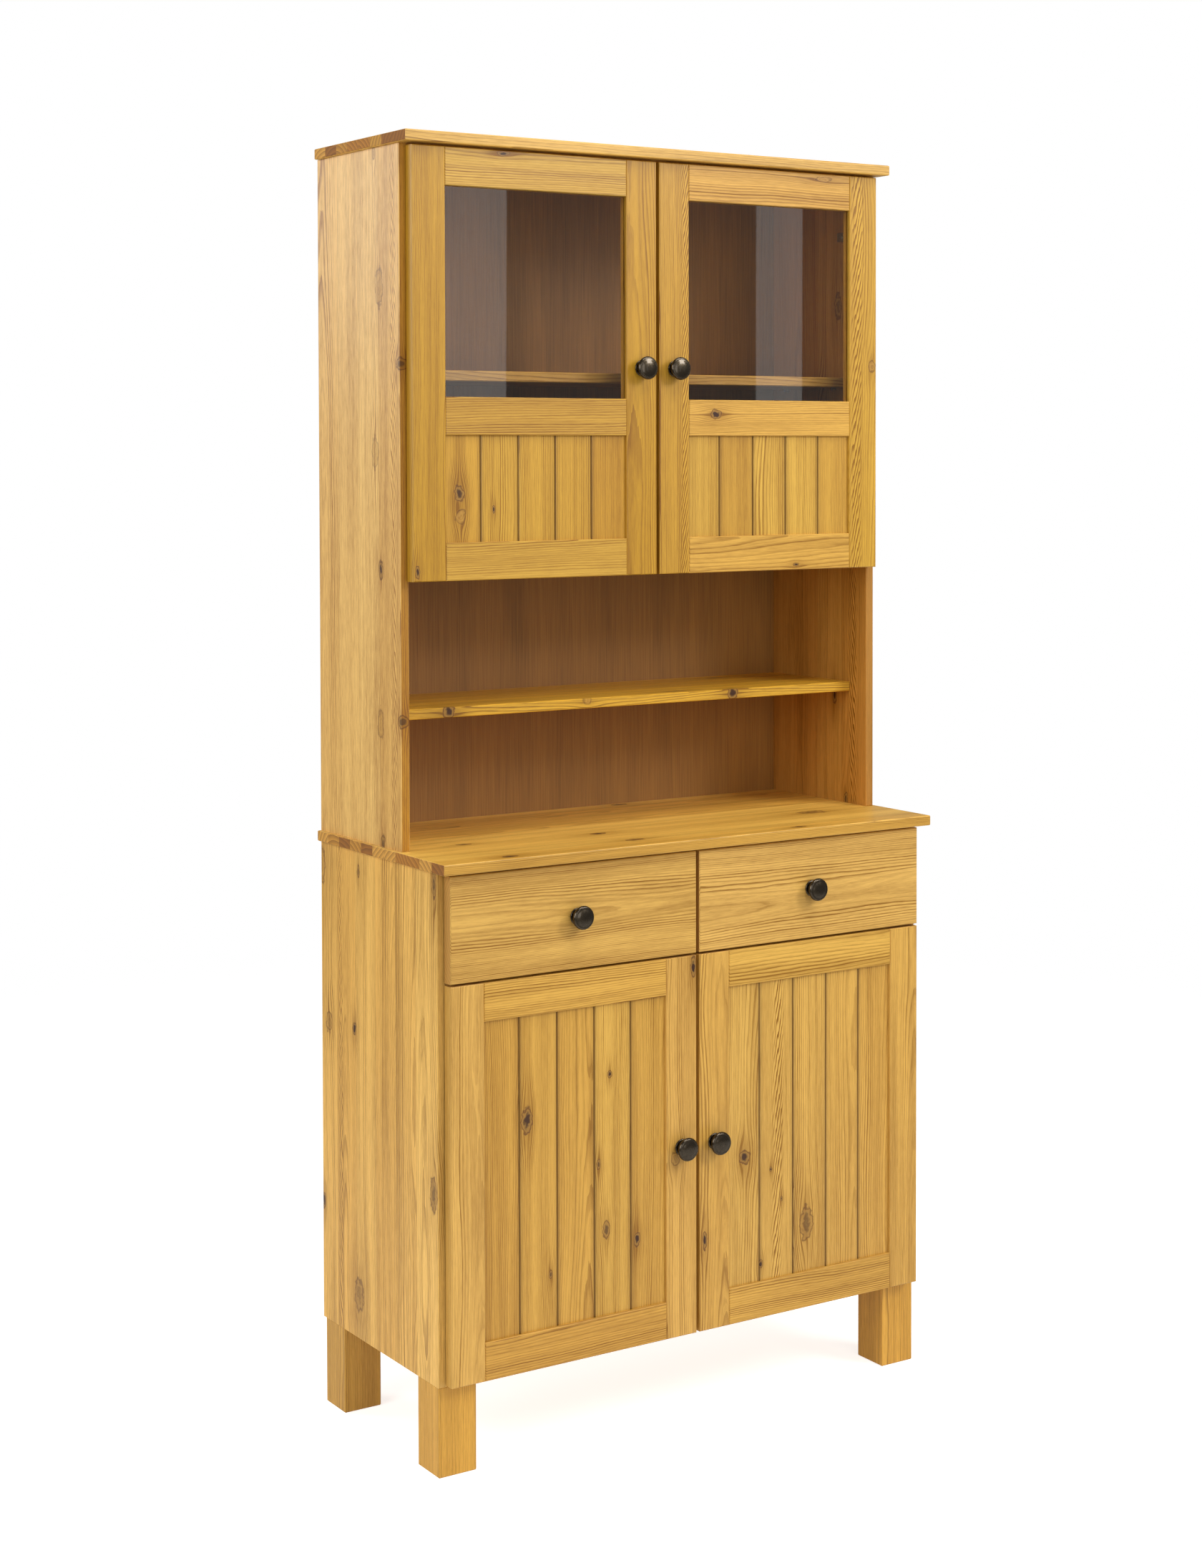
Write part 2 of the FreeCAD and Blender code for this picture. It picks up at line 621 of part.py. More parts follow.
def door(prefix, side, origin, height, panel_height, glazed):
    """A whole door, hung on the named side, with its knob on the other."""
    lefts = {"left": "0", "right": f"{FRONT_WIDTH} - stile_width"}
    stiles = [stile(f"{prefix}_stile_{edge}", (left, "0", "0"), edge, edge == side,
                    height, panel_height, glazed)
              for edge, left in lefts.items()]
    group(f"{prefix}_stiles", origin, stiles)
    rails = [rail(f"{prefix}_rail_bottom", "0", "plain", "groove")]
    if glazed:
        rails.append(rail(f"{prefix}_rail_middle", f"{LIGHT_BOTTOM} - rail_height", "groove", "rebate"))
        rails.append(rail(f"{prefix}_rail_top", f"{height} - rail_height", "rebate", "plain"))
    else:
        rails.append(rail(f"{prefix}_rail_top", f"{height} - rail_height", "groove", "plain"))
    group(f"{prefix}_rails", origin, rails)
    planks(f"{prefix}_planks", origin, panel_height)
    if glazed:
        glazing(prefix, origin)
    hinges(prefix, side, origin, height)
    across = {"left": f"{FRONT_WIDTH} - stile_width / 2", "right": "stile_width / 2"}[side]
    knob(f"{prefix}_knob", shifted(origin, (across, "0", f"{height} / 2")))


UPPER_FRONT = f"({HUTCH_FRONT} - door_gap - door_thickness)"
LOWER_FRONT = f"({BASE_FRONT} - door_gap - door_thickness)"
for side, left in FRONT_LEFT.items():
    door(f"upper_{side}_door", side, (left, UPPER_FRONT, UPPER_DOOR_BOTTOM),
         UPPER_DOOR_HEIGHT, "short_panel_height", True)
    door(f"lower_{side}_door", side, (left, LOWER_FRONT, LOWER_DOOR_BOTTOM),
         LOWER_DOOR_HEIGHT, LONG_PANEL_HEIGHT, False)
group("hinge_arms", ("0", "0", "0"), arms)


# --- Drawers ---

def drawer(side, origin):
    """A front on a box of two grooved sides, a back and a thin bottom."""
    prefix = f"{side}_drawer"
    box_left = {"left": "(side_thickness - side_reveal + drawer_side_play)",
                "right": "(divider_thickness / 2 - pair_gap / 2 + drawer_side_play)"}[side]
    bottom_left = f"({box_left} + drawer_side_thickness - drawer_bottom_lap)"
    bottom_width = f"({DRAWER_BOX_WIDTH} - 2 * drawer_side_thickness + 2 * drawer_bottom_lap)"
    bottom_z = f"({DRAWER_BOX_LIFT} + drawer_bottom_lift)"

    front = new_body(f"{prefix}_front")
    pad(front, rectangle(front, "XY_Plane", FRONT_WIDTH, "door_thickness"), "drawer_height")
    bevel(front, "front")
    groove = rectangle(front, "XY_Plane", bottom_width, "drawer_bottom_lap",
                       (bottom_left, "door_thickness - drawer_bottom_lap", bottom_z))
    cut(front, groove, "drawer_bottom_thickness")
    part(place(front, origin))

    top_of_slot = "drawer_bottom_lift + drawer_bottom_thickness"
    slot_depth = "drawer_side_thickness - drawer_bottom_lap"
    groove_top = "runner_groove_lift + runner_groove_height"
    section = [("0", "0"), ("drawer_side_thickness", "0"), ("drawer_side_thickness", "drawer_bottom_lift"),
               (slot_depth, "drawer_bottom_lift"), (slot_depth, top_of_slot),
               ("drawer_side_thickness", top_of_slot), ("drawer_side_thickness", "drawer_side_height"),
               ("0", "drawer_side_height"), ("0", groove_top), ("runner_groove_depth", groove_top),
               ("runner_groove_depth", "runner_groove_lift"), ("0", "runner_groove_lift")]
    lefts = {"left": box_left, "right": f"{box_left} + {DRAWER_BOX_WIDTH} - drawer_side_thickness"}
    sides = []
    for edge, left in lefts.items():
        body = new_body(f"{prefix}_side_{edge}")
        points = section
        if edge == "right":
            points = [(f"drawer_side_thickness - ({across})", up) for across, up in reversed(section)]
        pad(body, outline(body, "XZ_Plane", points, ("0", "0", "-drawer_depth")), "drawer_depth")
        sides.append(place(body, (left, "door_thickness", DRAWER_BOX_LIFT)))
    group(f"{prefix}_sides", origin, sides)

    back_place = (f"{box_left} + drawer_side_thickness",
                  "door_thickness + drawer_depth - drawer_side_thickness",
                  f"{bottom_z} + drawer_bottom_thickness")
    part(board(f"{prefix}_back", shifted(origin, back_place),
               f"{DRAWER_BOX_WIDTH} - 2 * drawer_side_thickness", "drawer_side_thickness",
               "drawer_side_height - drawer_bottom_lift - drawer_bottom_thickness"))
    bottom_place = (f"{bottom_left} + drawer_bottom_play",
                    "door_thickness - drawer_bottom_lap + drawer_bottom_play", bottom_z)
    part(board(f"{prefix}_bottom", shifted(origin, bottom_place), f"{bottom_width} - 2 * drawer_bottom_play",
               "drawer_depth + drawer_bottom_lap - drawer_bottom_play", "drawer_bottom_thickness"))
    knob(f"{prefix}_knob", shifted(origin, (f"{FRONT_WIDTH} / 2", "0", "drawer_height / 2")))


for side, left in FRONT_LEFT.items():
    drawer(side, (left, LOWER_FRONT, DRAWER_BOTTOM))


# --- Test every object, then write each sub-part ---

doc.recompute()
for thing in doc.Objects:
    if "Invalid" in thing.State or "Error" in thing.State:
        raise RuntimeError(thing.Label + " has failed")
for piece in parts:
    if piece.Shape.isNull() or not piece.Shape.isValid() or not piece.Shape.Solids:
        raise RuntimeError(piece.Label + " is not a valid solid")
os.makedirs("parts", exist_ok=True)
for piece in parts:
    piece.Shape.exportStep(os.path.join("parts", piece.Label + ".step"))
print(len(parts), "sub-parts,", sum(len(piece.Shape.Solids) for piece in parts), "solids")
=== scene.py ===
import math

import bpy
import numpy as np
from mathutils import Matrix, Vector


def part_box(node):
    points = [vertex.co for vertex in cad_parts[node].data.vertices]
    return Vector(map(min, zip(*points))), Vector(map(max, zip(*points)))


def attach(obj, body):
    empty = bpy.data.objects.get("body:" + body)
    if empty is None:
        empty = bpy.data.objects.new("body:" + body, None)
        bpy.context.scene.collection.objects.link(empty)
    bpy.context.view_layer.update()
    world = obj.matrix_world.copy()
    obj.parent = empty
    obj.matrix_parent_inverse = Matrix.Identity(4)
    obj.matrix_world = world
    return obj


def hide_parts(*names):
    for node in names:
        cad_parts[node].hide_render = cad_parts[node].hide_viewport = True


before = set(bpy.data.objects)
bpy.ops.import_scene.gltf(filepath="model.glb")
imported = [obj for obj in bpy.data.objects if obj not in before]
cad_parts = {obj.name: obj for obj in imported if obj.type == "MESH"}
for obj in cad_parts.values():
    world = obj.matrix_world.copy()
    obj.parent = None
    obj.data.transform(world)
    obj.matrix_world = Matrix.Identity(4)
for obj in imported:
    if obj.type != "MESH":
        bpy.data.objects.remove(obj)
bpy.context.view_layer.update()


# --- Studio ---
# The dresser stands on a plain pale floor in a white room, under a large soft
# key lamp high on the right and a wide fill on the left. Two tall narrow cards
# on the right give the panes their upright streaks of light.

def linear(code):
    """sRGB hex to linear light: c / 12.92 up to 0.04045, above it ((c + 0.055) / 1.055) to the power 2.4."""
    shades = [int(code[k:k + 2], 16) / 255 for k in (1, 3, 5)]
    return (*(c / 12.92 if c <= 0.04045 else ((c + 0.055) / 1.055) ** 2.4 for c in shades), 1.0)


def add(tree, kind, feeds=(), **settings):
    """Adds a node with its settings, its inputs fed from values, sockets or other nodes' first outputs."""
    node = tree.nodes.new("ShaderNode" + kind)
    for key, value in settings.items():
        setattr(node, key, value)
    for key, value in dict(feeds).items():
        if isinstance(value, bpy.types.Node):
            value = value.outputs[0]
        if isinstance(value, bpy.types.NodeSocket):
            tree.links.new(value, node.inputs[key])
        else:
            node.inputs[key].default_value = value
    return node


def blank(name):
    """A new material and its node tree, with nothing in it yet."""
    made = bpy.data.materials.new(name)
    made.use_nodes = True
    made.node_tree.nodes.clear()
    return made, made.node_tree


def plane_axes(toward, up=(0, 0, 1)):
    """Right, up and backward axes of a thing that looks along toward."""
    back = -np.array(toward, float) / np.linalg.norm(toward)
    right = np.cross(up, back)
    right /= np.linalg.norm(right)
    return right, np.cross(back, right), back


def stand(thing, place, right, up, back):
    """Links a lamp or camera and puts it in place, turned to these axes."""
    bpy.context.scene.collection.objects.link(thing)
    turn = Matrix.Identity(4)
    for column, axis in enumerate((right, up, back, place)):
        for row in range(3):
            turn[row][column] = axis[row]
    thing.matrix_world = turn
    return thing


EYE = (-2.1256, -3.2172, 1.4407)
YAW, PITCH, ROLL = math.radians(32.77), math.radians(1.79), math.radians(-0.132)
ahead = (math.sin(YAW) * math.cos(PITCH), math.cos(YAW) * math.cos(PITCH), -math.sin(PITCH))
level, upright, behind = plane_axes(ahead)
tilted = math.cos(ROLL) * level + math.sin(ROLL) * upright, math.cos(ROLL) * upright - math.sin(ROLL) * level
camera = bpy.data.cameras.new("camera")
camera.lens, camera.sensor_width, camera.shift_y = 57.66, 36, -0.16
camera.clip_end = 100
bpy.context.scene.camera = stand(bpy.data.objects.new("camera", camera), EYE, *tilted, behind)

for name, place, target, wide, tall, watts in (
        ("key_lamp", (2.3, -3.3, 3.3), (0.0, 0.0, 1.0), 1.5, 1.5, 100),
        ("fill_lamp", (-4.2, -1.2, 2.4), (-0.4, 0.0, 1.0), 2.6, 2.6, 90),
        ("rear_fill_lamp", (-3.4, 3.6, 2.9), (-0.4, 0.0, 1.4), 2.4, 2.4, 90),
        ("front_lamp", (-0.4, -4.6, 1.6), (0.0, 0.0, 0.9), 2.6, 2.6, 50),
        ("top_lamp", (0.2, -1.5, 4.4), (0.0, -0.2, 0.9), 1.8, 1.8, 60),
        ("left_streak", (1.62, -3.5, 1.95), (0.0, 0.0, 1.7), 0.26, 1.5, 1.2),
        ("right_streak", (2.79, -3.484, 1.95), (0.425, 0.016, 1.7), 0.15, 1.5, 0.65)):
    lamp = bpy.data.lights.new(name, "AREA")
    lamp.shape, lamp.size, lamp.size_y, lamp.energy = "RECTANGLE", wide, tall, watts
    card = stand(bpy.data.objects.new(name, lamp), place, *plane_axes(np.array(target) - np.array(place)))
    card.visible_camera = False
    card.visible_transmission = not name.endswith("fill_lamp")  # an open pane could show these two


def straight_look(tree):
    """One for a line of sight that meets nothing or only clear panes, nought for light on other ways."""
    path = add(tree, "LightPath")
    bounced = add(tree, "Math", {0: path.outputs["Diffuse Depth"], 1: path.outputs["Glossy Depth"]},
                  operation="ADD")
    clean = add(tree, "Math", {0: bounced, 1: 0.5}, operation="LESS_THAN")
    through = add(tree, "Math", {0: path.outputs["Is Transmission Ray"], 1: clean}, operation="MULTIPLY")
    return add(tree, "Math", {0: path.outputs["Is Camera Ray"], 1: through}, operation="MAXIMUM")


room = bpy.data.worlds.new("white_room")
room.use_nodes = True
tree = room.node_tree
tree.nodes.clear()
seen = add(tree, "Background", {"Color": linear("#FFFFFF"), "Strength": 1.0})
glow = add(tree, "Background", {"Color": linear("#F6F3EE"), "Strength": 0.28})
add(tree, "OutputWorld", {"Surface": add(tree, "MixShader", {0: straight_look(tree), 1: glow, 2: seen})})
bpy.context.scene.world = room
bpy.context.scene.view_settings.view_transform = "Standard"


def surface(name, points, faces, material):
    """A mesh object at the origin from an array of points in metres and a list of faces, shaded smooth."""
    mesh = bpy.data.meshes.new(name)
    mesh.from_pydata(np.reshape(points, (-1, 3)).tolist(), [], [list(f) for f in faces])
    mesh.polygons.foreach_set("use_smooth", np.ones(len(mesh.polygons), bool))
    mesh.materials.append(material)
    piece = bpy.data.objects.new(name, mesh)
    bpy.context.scene.collection.objects.link(piece)
    return piece


# Pale studio floor, matt paint: bright to the eye, and it thins out to nothing
# towards its rim, so that no edge shows against the room. It lights the dresser
# from below much less than its brightness would.
FLOOR_REACH, FLOOR_DEPTH, FLOOR_CORNERS = 3.4, 0.0005, 64
pale_floor, tree = blank("pale_matt_floor")
paint = add(tree, "BsdfPrincipled", {"Base Color": linear("#D6D4D1"), "Roughness": 0.9,
                                     "Emission Color": linear("#FFFFFF"), "Emission Strength": 0.75})
dull = add(tree, "BsdfPrincipled", {"Base Color": linear("#CCCAC6"), "Roughness": 0.9,
                                    "Emission Color": linear("#FFFFFF"), "Emission Strength": 0.25})
sight = add(tree, "MixShader", {0: straight_look(tree), 1: dull, 2: paint})
spot = add(tree, "TexCoord").outputs["Object"]
reach = add(tree, "VectorMath", {0: spot}, operation="LENGTH").outputs["Value"]
thin = add(tree, "MapRange", {"Value": reach, "From Min": 0.9, "From Max": FLOOR_REACH},
           interpolation_type="SMOOTHSTEP")
faded = add(tree, "MixShader", {0: thin, 1: sight, 2: add(tree, "BsdfTransparent")})
add(tree, "OutputMaterial", {"Surface": faded})
turn = np.linspace(0, 2 * np.pi, FLOOR_CORNERS, endpoint=False)
brink = np.stack([FLOOR_REACH * np.cos(turn), FLOOR_REACH * np.sin(turn), 0 * turn - FLOOR_DEPTH], 1)
surface("floor", brink, [range(FLOOR_CORNERS)], pale_floor)


# --- Legs ---
# Four square legs, each planed from one length of pine with the grain upright
# and its edges bevelled, and lacquered like the rest. They stay as solids.

BELL = 0.37  # a bell curve is this to the power of the squared distance
SQUARE_ON = 0.75  # a face counts as square on to an axis from this share of its normal
# sockets of a Mix node that mixes colours: how much of the second, the two colours, and the result
SHARE, FIRST, SECOND, MIXED = 0, 6, 7, 2


def end_of(node, axis, high=False):
    """Where a solid begins along an axis, or where it ends, in mm."""
    return round(1000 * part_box(node)[high]["xyz".index(axis)], 3)


def middle_of(node, axis):
    """A solid's middle along an axis, in mm."""
    return (end_of(node, axis) + end_of(node, axis, high=True)) / 2


def pine(name, node, lay, pitch, seed, start=None, light="#DEAF50", dark="#8C5E0E", ring=2.4, pith=55,
         spread=130, wander=11, taper=0.006, knots=None, flames=(), seam=(0.5, 0.25), ends=("#C08F45",),
         coarse=1.0, fibre_width=1.4, edge_shade="#FFFFFF"):
    """Clear-lacquered knotty pine, planed and sanded: golden early wood, thin brown late-wood lines, knots.

    The pattern follows a solid, node. lay names the axes along its grain, across its boards and through
    them. Boards are pitch wide from start, in mm, or from the solid's edge. Each has a pith of its own, up
    to spread beside it and about pith deep. A ring's place is the distance from that pith, plus taper times
    the length, over the ring width; early wood darkens along its fraction into late wood. knots gives those
    of each face, such as "-y" for the one at the low end of y: a spot is its other two places, its length,
    its width and its darkness. It draws the grain round itself: the distance across shrinks by a bell curve
    of the distance to the knot. A flame (across, width, period) is a file of slanting strokes: a sawtooth
    along the board, under a bell curve across. coarse scales how dark the fibres are. A seam (width,
    darkness) is the dark line between two boards, partly the joint's own gap and partly a painted shadow
    in it, with a fainter painted shade beside it over twice its width. ends are the tones of the boards'
    end grain, and edge_shade multiplies the colour of their narrow edges as a painted shade.
    """
    made, tree = blank(name)
    order = ["xyz".index(axis) for axis in lay]
    centre = middle_of(node, lay[2])
    start = end_of(node, lay[1]) if start is None else start
    place = add(tree, "TexCoord")
    axes = add(tree, "SeparateXYZ", {0: place.outputs["Object"]})
    laid = add(tree, "CombineXYZ", {k: axes.outputs[axis] for k, axis in enumerate(order)})
    mm = add(tree, "VectorMath", {0: laid, 1: (1000, 1000, 1000), 2: (0, 0, -centre)},
             operation="MULTIPLY_ADD")
    along, across = add(tree, "SeparateXYZ", {0: mm}).outputs[:2]

    # which board this is, its own chance numbers, and with them its place in a log of its own
    count = add(tree, "Math", {0: across, 1: 1 / pitch, 2: -start / pitch}, operation="MULTIPLY_ADD")
    board = add(tree, "Math", {0: count}, operation="FLOOR")
    chance = add(tree, "TexWhiteNoise", {"W": add(tree, "Math", {0: board, 1: seed + 0.37}, operation="ADD")},
                 noise_dimensions="1D")
    pith_place = add(tree, "VectorMath", {
        0: chance.outputs["Color"], 1: (4000, 2 * spread, 0.9 * pith),
        2: (0, -spread - start - 0.5 * pitch, 0.5 * pith)}, operation="MULTIPLY_ADD")
    shift = add(tree, "CombineXYZ", {1: board})
    shift = add(tree, "VectorMath", {0: shift, 1: (0, -pitch, 0), 2: pith_place}, operation="MULTIPLY_ADD")
    log = add(tree, "VectorMath", {0: mm, 1: shift}, operation="ADD")

    # the tree's slow wander, 500 mm long and 80 mm wide
    slow = add(tree, "VectorMath", {0: log, 1: (1 / 500, 1 / 80, 1 / 80)}, operation="MULTIPLY")
    bends = add(tree, "TexNoise", {"Vector": slow, "Scale": 1.0, "Detail": 1.5})
    grain = add(tree, "VectorMath", {0: bends.outputs["Color"], 1: (0, 2 * wander, 2 * wander), 2: log},
                operation="MULTIPLY_ADD")

    # knots with ragged rims: the nearest one's distance in its own radii, and the grain drawn round each
    nearest, stain = 9.0, 0.0
    ragged = np.array((1.1, 1.3, 0))
    spots = []
    for (end, axis), flat in (knots or {}).items():
        before = "xyz".index(axis)
        face = end_of(node, axis, high=end == "+")
        spots += [(*spot[:before], face, *spot[before:]) for spot in flat]
    if spots:
        rag = add(tree, "TexNoise", {"Vector": mm, "Scale": 0.12, "Detail": 1.5}).outputs["Color"]
    for *spot, length, width, darkness in spots:
        size = np.array([length, width, 1.2 * width])
        middle = np.array(spot)[order] - (0, 0, centre)
        near = add(tree, "VectorMath", {0: mm, 1: 1 / size, 2: -middle / size}, operation="MULTIPLY_ADD")
        torn = add(tree, "VectorMath", {0: rag, 1: ragged, 2: near}, operation="MULTIPLY_ADD")
        away = add(tree, "VectorMath", {0: torn, 1: 0.5 * ragged}, operation="DISTANCE").outputs["Value"]
        wide = add(tree, "VectorMath", {0: near, 1: (0.3, 0.5, 0.4)}, operation="MULTIPLY")
        squared = add(tree, "VectorMath", {0: wide, 1: wide}, operation="DOT_PRODUCT").outputs["Value"]
        bell = add(tree, "Math", {0: BELL, 1: squared}, operation="POWER")
        pull = add(tree, "VectorMath", {0: near, 3: bell}, operation="SCALE")
        grain = add(tree, "VectorMath", {0: pull, 1: (0, -0.95 * width, -0.8 * width), 2: grain},
                    operation="MULTIPLY_ADD")
        nearest = add(tree, "Math", {0: away, 1: nearest}, operation="MINIMUM")
        marked = add(tree, "Math", {0: bell, 1: darkness}, operation="MULTIPLY")
        stain = add(tree, "Math", {0: marked, 1: stain}, operation="MAXIMUM")

    # year rings, a little wavy: ring after ring from the pith, each with its dark late wood
    round_pith = add(tree, "VectorMath", {0: grain, 1: (0, 1, 1)}, operation="MULTIPLY")
    radius = add(tree, "VectorMath", {0: round_pith}, operation="LENGTH").outputs["Value"]
    growth = add(tree, "Math", {0: add(tree, "SeparateXYZ", {0: grain}), 1: taper, 2: radius},
                 operation="MULTIPLY_ADD")
    wavy = add(tree, "VectorMath", {0: grain, 1: (1 / 70, 1 / 9, 1 / 9)}, operation="MULTIPLY")
    ripple = add(tree, "TexNoise", {"Vector": wavy, "Scale": 1.0, "Detail": 2.0})
    wave = add(tree, "Math", {0: ripple, 1: 0.7}, operation="MULTIPLY")
    years = add(tree, "Math", {0: growth, 1: 1 / ring, 2: wave}, operation="MULTIPLY_ADD")
    season = add(tree, "Math", {0: years}, operation="FRACT")
    late = add(tree, "MapRange", {"Value": season, "From Min": 0.45, "From Max": 0.93},
               interpolation_type="SMOOTHSTEP")

    # some boards, spells of years and single years are richer in late wood; others leave hardly any line
    of_board = add(tree, "SeparateXYZ", {0: chance.outputs["Color"]}).outputs[2]
    board_rich = add(tree, "MapRange", {"Value": of_board, "To Min": 0.6, "To Max": 1.15})
    year = add(tree, "Math", {0: years}, operation="FLOOR")
    of_year = add(tree, "TexWhiteNoise", {"W": year}, noise_dimensions="1D")
    year_rich = add(tree, "MapRange", {"Value": of_year, "To Min": 0.35, "To Max": 1.0})
    spell = add(tree, "Math", {0: years, 1: 0.17, 2: seed}, operation="MULTIPLY_ADD")
    spell = add(tree, "TexNoise", {"W": spell, "Scale": 1.0, "Detail": 2.0}, noise_dimensions="1D")
    spell_rich = add(tree, "MapRange", {"Value": spell, "From Min": 0.4, "From Max": 0.62,
                                        "To Min": 0.3, "To Max": 1.1})
    rich = add(tree, "Math", {0: year_rich, 1: board_rich}, operation="MULTIPLY")
    rich = add(tree, "Math", {0: spell_rich, 1: rich}, operation="MULTIPLY")
    lines = add(tree, "Math", {0: late, 1: rich}, operation="MULTIPLY")

    # flames, where the saw cut a crest of the rings: they sway up to 14 mm with the tree's wander
    for middle, width, period in flames:
        off = add(tree, "Math", {0: bends, 1: 14, 2: across}, operation="MULTIPLY_ADD")
        off = add(tree, "Math", {0: off, 1: 1 / width, 2: -(middle + 7) / width}, operation="MULTIPLY_ADD")
        squared = add(tree, "Math", {0: off, 1: off}, operation="MULTIPLY")
        bell = add(tree, "Math", {0: BELL, 1: squared}, operation="POWER")
        slant = add(tree, "Math", {0: off, 1: -1.5}, operation="MULTIPLY")
        lean = add(tree, "Math", {0: ripple, 1: 1.8, 2: slant}, operation="MULTIPLY_ADD")
        stroke = add(tree, "Math", {0: along, 1: 1 / period, 2: lean}, operation="MULTIPLY_ADD")
        stroke = add(tree, "MapRange", {"Value": add(tree, "Math", {0: stroke}, operation="FRACT"),
                                        "From Min": 0.4, "From Max": 0.9, "To Min": -0.15, "To Max": 1.3},
                     interpolation_type="SMOOTHSTEP")
        lines = add(tree, "Mix", {0: bell, 2: lines, 3: stroke})

    # thin threads along the rings, about half a ring wide
    threads = add(tree, "TexNoise", {"W": add(tree, "Math", {0: years, 1: 1.9}, operation="MULTIPLY"),
                                     "Scale": 1.0, "Detail": 2.5, "Roughness": 0.65}, noise_dimensions="1D")
    threads = add(tree, "MapRange", {"Value": threads, "From Min": 0.52, "From Max": 0.66,
                                     "To Min": 0.0, "To Max": 0.2})
    lines = add(tree, "Math", {0: threads, 1: lines}, operation="ADD")

    # fibres 24 mm long, the real ones 0.1 mm wide but drawn as wide as shows, and clouds of tone 24 by 600 mm
    drawn = add(tree, "VectorMath", {0: log, 1: (1 / 24, 1 / fibre_width, 1 / fibre_width)},
                operation="MULTIPLY")
    fibre = add(tree, "TexNoise", {"Vector": drawn, "Scale": 1.0, "Detail": 3.0, "Roughness": 0.65})
    broad = add(tree, "VectorMath", {0: grain, 1: (1 / 600, 1 / 24, 1 / 24)}, operation="MULTIPLY")
    cloud = add(tree, "TexNoise", {"Vector": broad, "Scale": 1.0, "Detail": 4.0, "Roughness": 0.6})
    share = add(tree, "MapRange", {"Value": fibre, "From Min": 0.32, "From Max": 0.7,
                                   "To Min": -0.12 * coarse, "To Max": 0.18 * coarse})
    share = add(tree, "Math", {0: lines, 1: share}, operation="ADD")
    tone = add(tree, "MapRange", {"Value": cloud, "From Min": 0.3, "From Max": 0.7,
                                  "To Min": -0.08, "To Max": 0.4})
    share = add(tree, "Math", {0: share, 1: tone}, operation="ADD")
    share = add(tree, "Math", {0: stain, 1: 0.45, 2: share}, operation="MULTIPLY_ADD")
    wood = add(tree, "Mix", {SHARE: share, FIRST: linear(light), SECOND: linear(dark)},
               data_type="RGBA").outputs[MIXED]

    # each board's own tone, and the seam to the next: a dark line, partly the joint's own gap and partly
    # painted shadow in it, and a painted shade beside it
    blush = add(tree, "MapRange", {"Value": chance, "To Min": 0.0, "To Max": 0.8})
    wood = add(tree, "Mix", {SHARE: blush, FIRST: wood, SECOND: linear("#E8DAC0")},
               data_type="RGBA", blend_type="MULTIPLY").outputs[MIXED]
    seam_width, seam_darkness = seam[0] / pitch, seam[1]
    rest = add(tree, "Math", {0: count}, operation="FRACT")
    rest = add(tree, "Math", {0: rest, 1: 1.0}, operation="PINGPONG")
    edge = add(tree, "Math", {0: rest, 1: -0.5}, operation="ADD")
    edge = add(tree, "Math", {0: edge}, operation="ABSOLUTE")
    groove = add(tree, "MapRange", {"Value": edge, "To Min": 0.0, "To Max": seam_darkness,
                                    "From Min": 0.5 - 0.5 * seam_width, "From Max": 0.5 - 0.2 * seam_width})
    # painted shade, fading out from the seam over twice its width, where the bevelled edges would fall into
    # shade
    shade = add(tree, "MapRange", {"Value": edge, "To Min": 0.0, "To Max": 0.35 * seam_darkness,
                                   "From Min": 0.5 - 2 * seam_width, "From Max": 0.5},
                interpolation_type="SMOOTHSTEP")
    groove = add(tree, "Math", {0: groove, 1: shade}, operation="MAXIMUM")
    wood = add(tree, "Mix", {SHARE: groove, FIRST: wood, SECOND: linear("#5A3D18")},
               data_type="RGBA").outputs[MIXED]

    # the knots themselves: a few rings, a dark line of bark, and a nearly black heart in the darkest
    if spots:
        heart = add(tree, "ValToRGB", {0: add(tree, "Math", {0: nearest, 1: 0.5}, operation="MULTIPLY")})
        tones = heart.color_ramp.elements
        for at, shade in ((0.08, "#B4883A"), (0.18, "#9A6C28"), (0.28, "#BC8E40"), (0.4, "#A27630"),
                          (0.47, "#6A4216"), (0.53, "#5A3410"), (0.6, "#AC7E34")):
            tones.new(at).color = linear(shade)
        tones.remove(tones[-1])
        tones.remove(tones[0])
        core = add(tree, "MapRange", {"Value": nearest, "From Min": 0.95, "From Max": 0.35},
                   interpolation_type="SMOOTHSTEP")
        deep = add(tree, "MapRange", {"Value": stain, "From Min": 0.5, "From Max": 0.85})
        core = add(tree, "Math", {0: core, 1: deep}, operation="MULTIPLY")
        heart = add(tree, "Mix", {SHARE: core, FIRST: heart, SECOND: linear("#361A0A")},
                    data_type="RGBA").outputs[MIXED]
        cover = add(tree, "MapRange", {"Value": nearest, "From Min": 1.3, "From Max": 0.95},
                    interpolation_type="SMOOTHSTEP")
        strength = add(tree, "Math", {0: stain, 1: 0.8, 2: 0.25}, operation="MULTIPLY_ADD")
        cover = add(tree, "Math", {0: cover, 1: strength}, operation="MULTIPLY")
        wood = add(tree, "Mix", {SHARE: cover, FIRST: wood, SECOND: heart}, data_type="RGBA").outputs[MIXED]

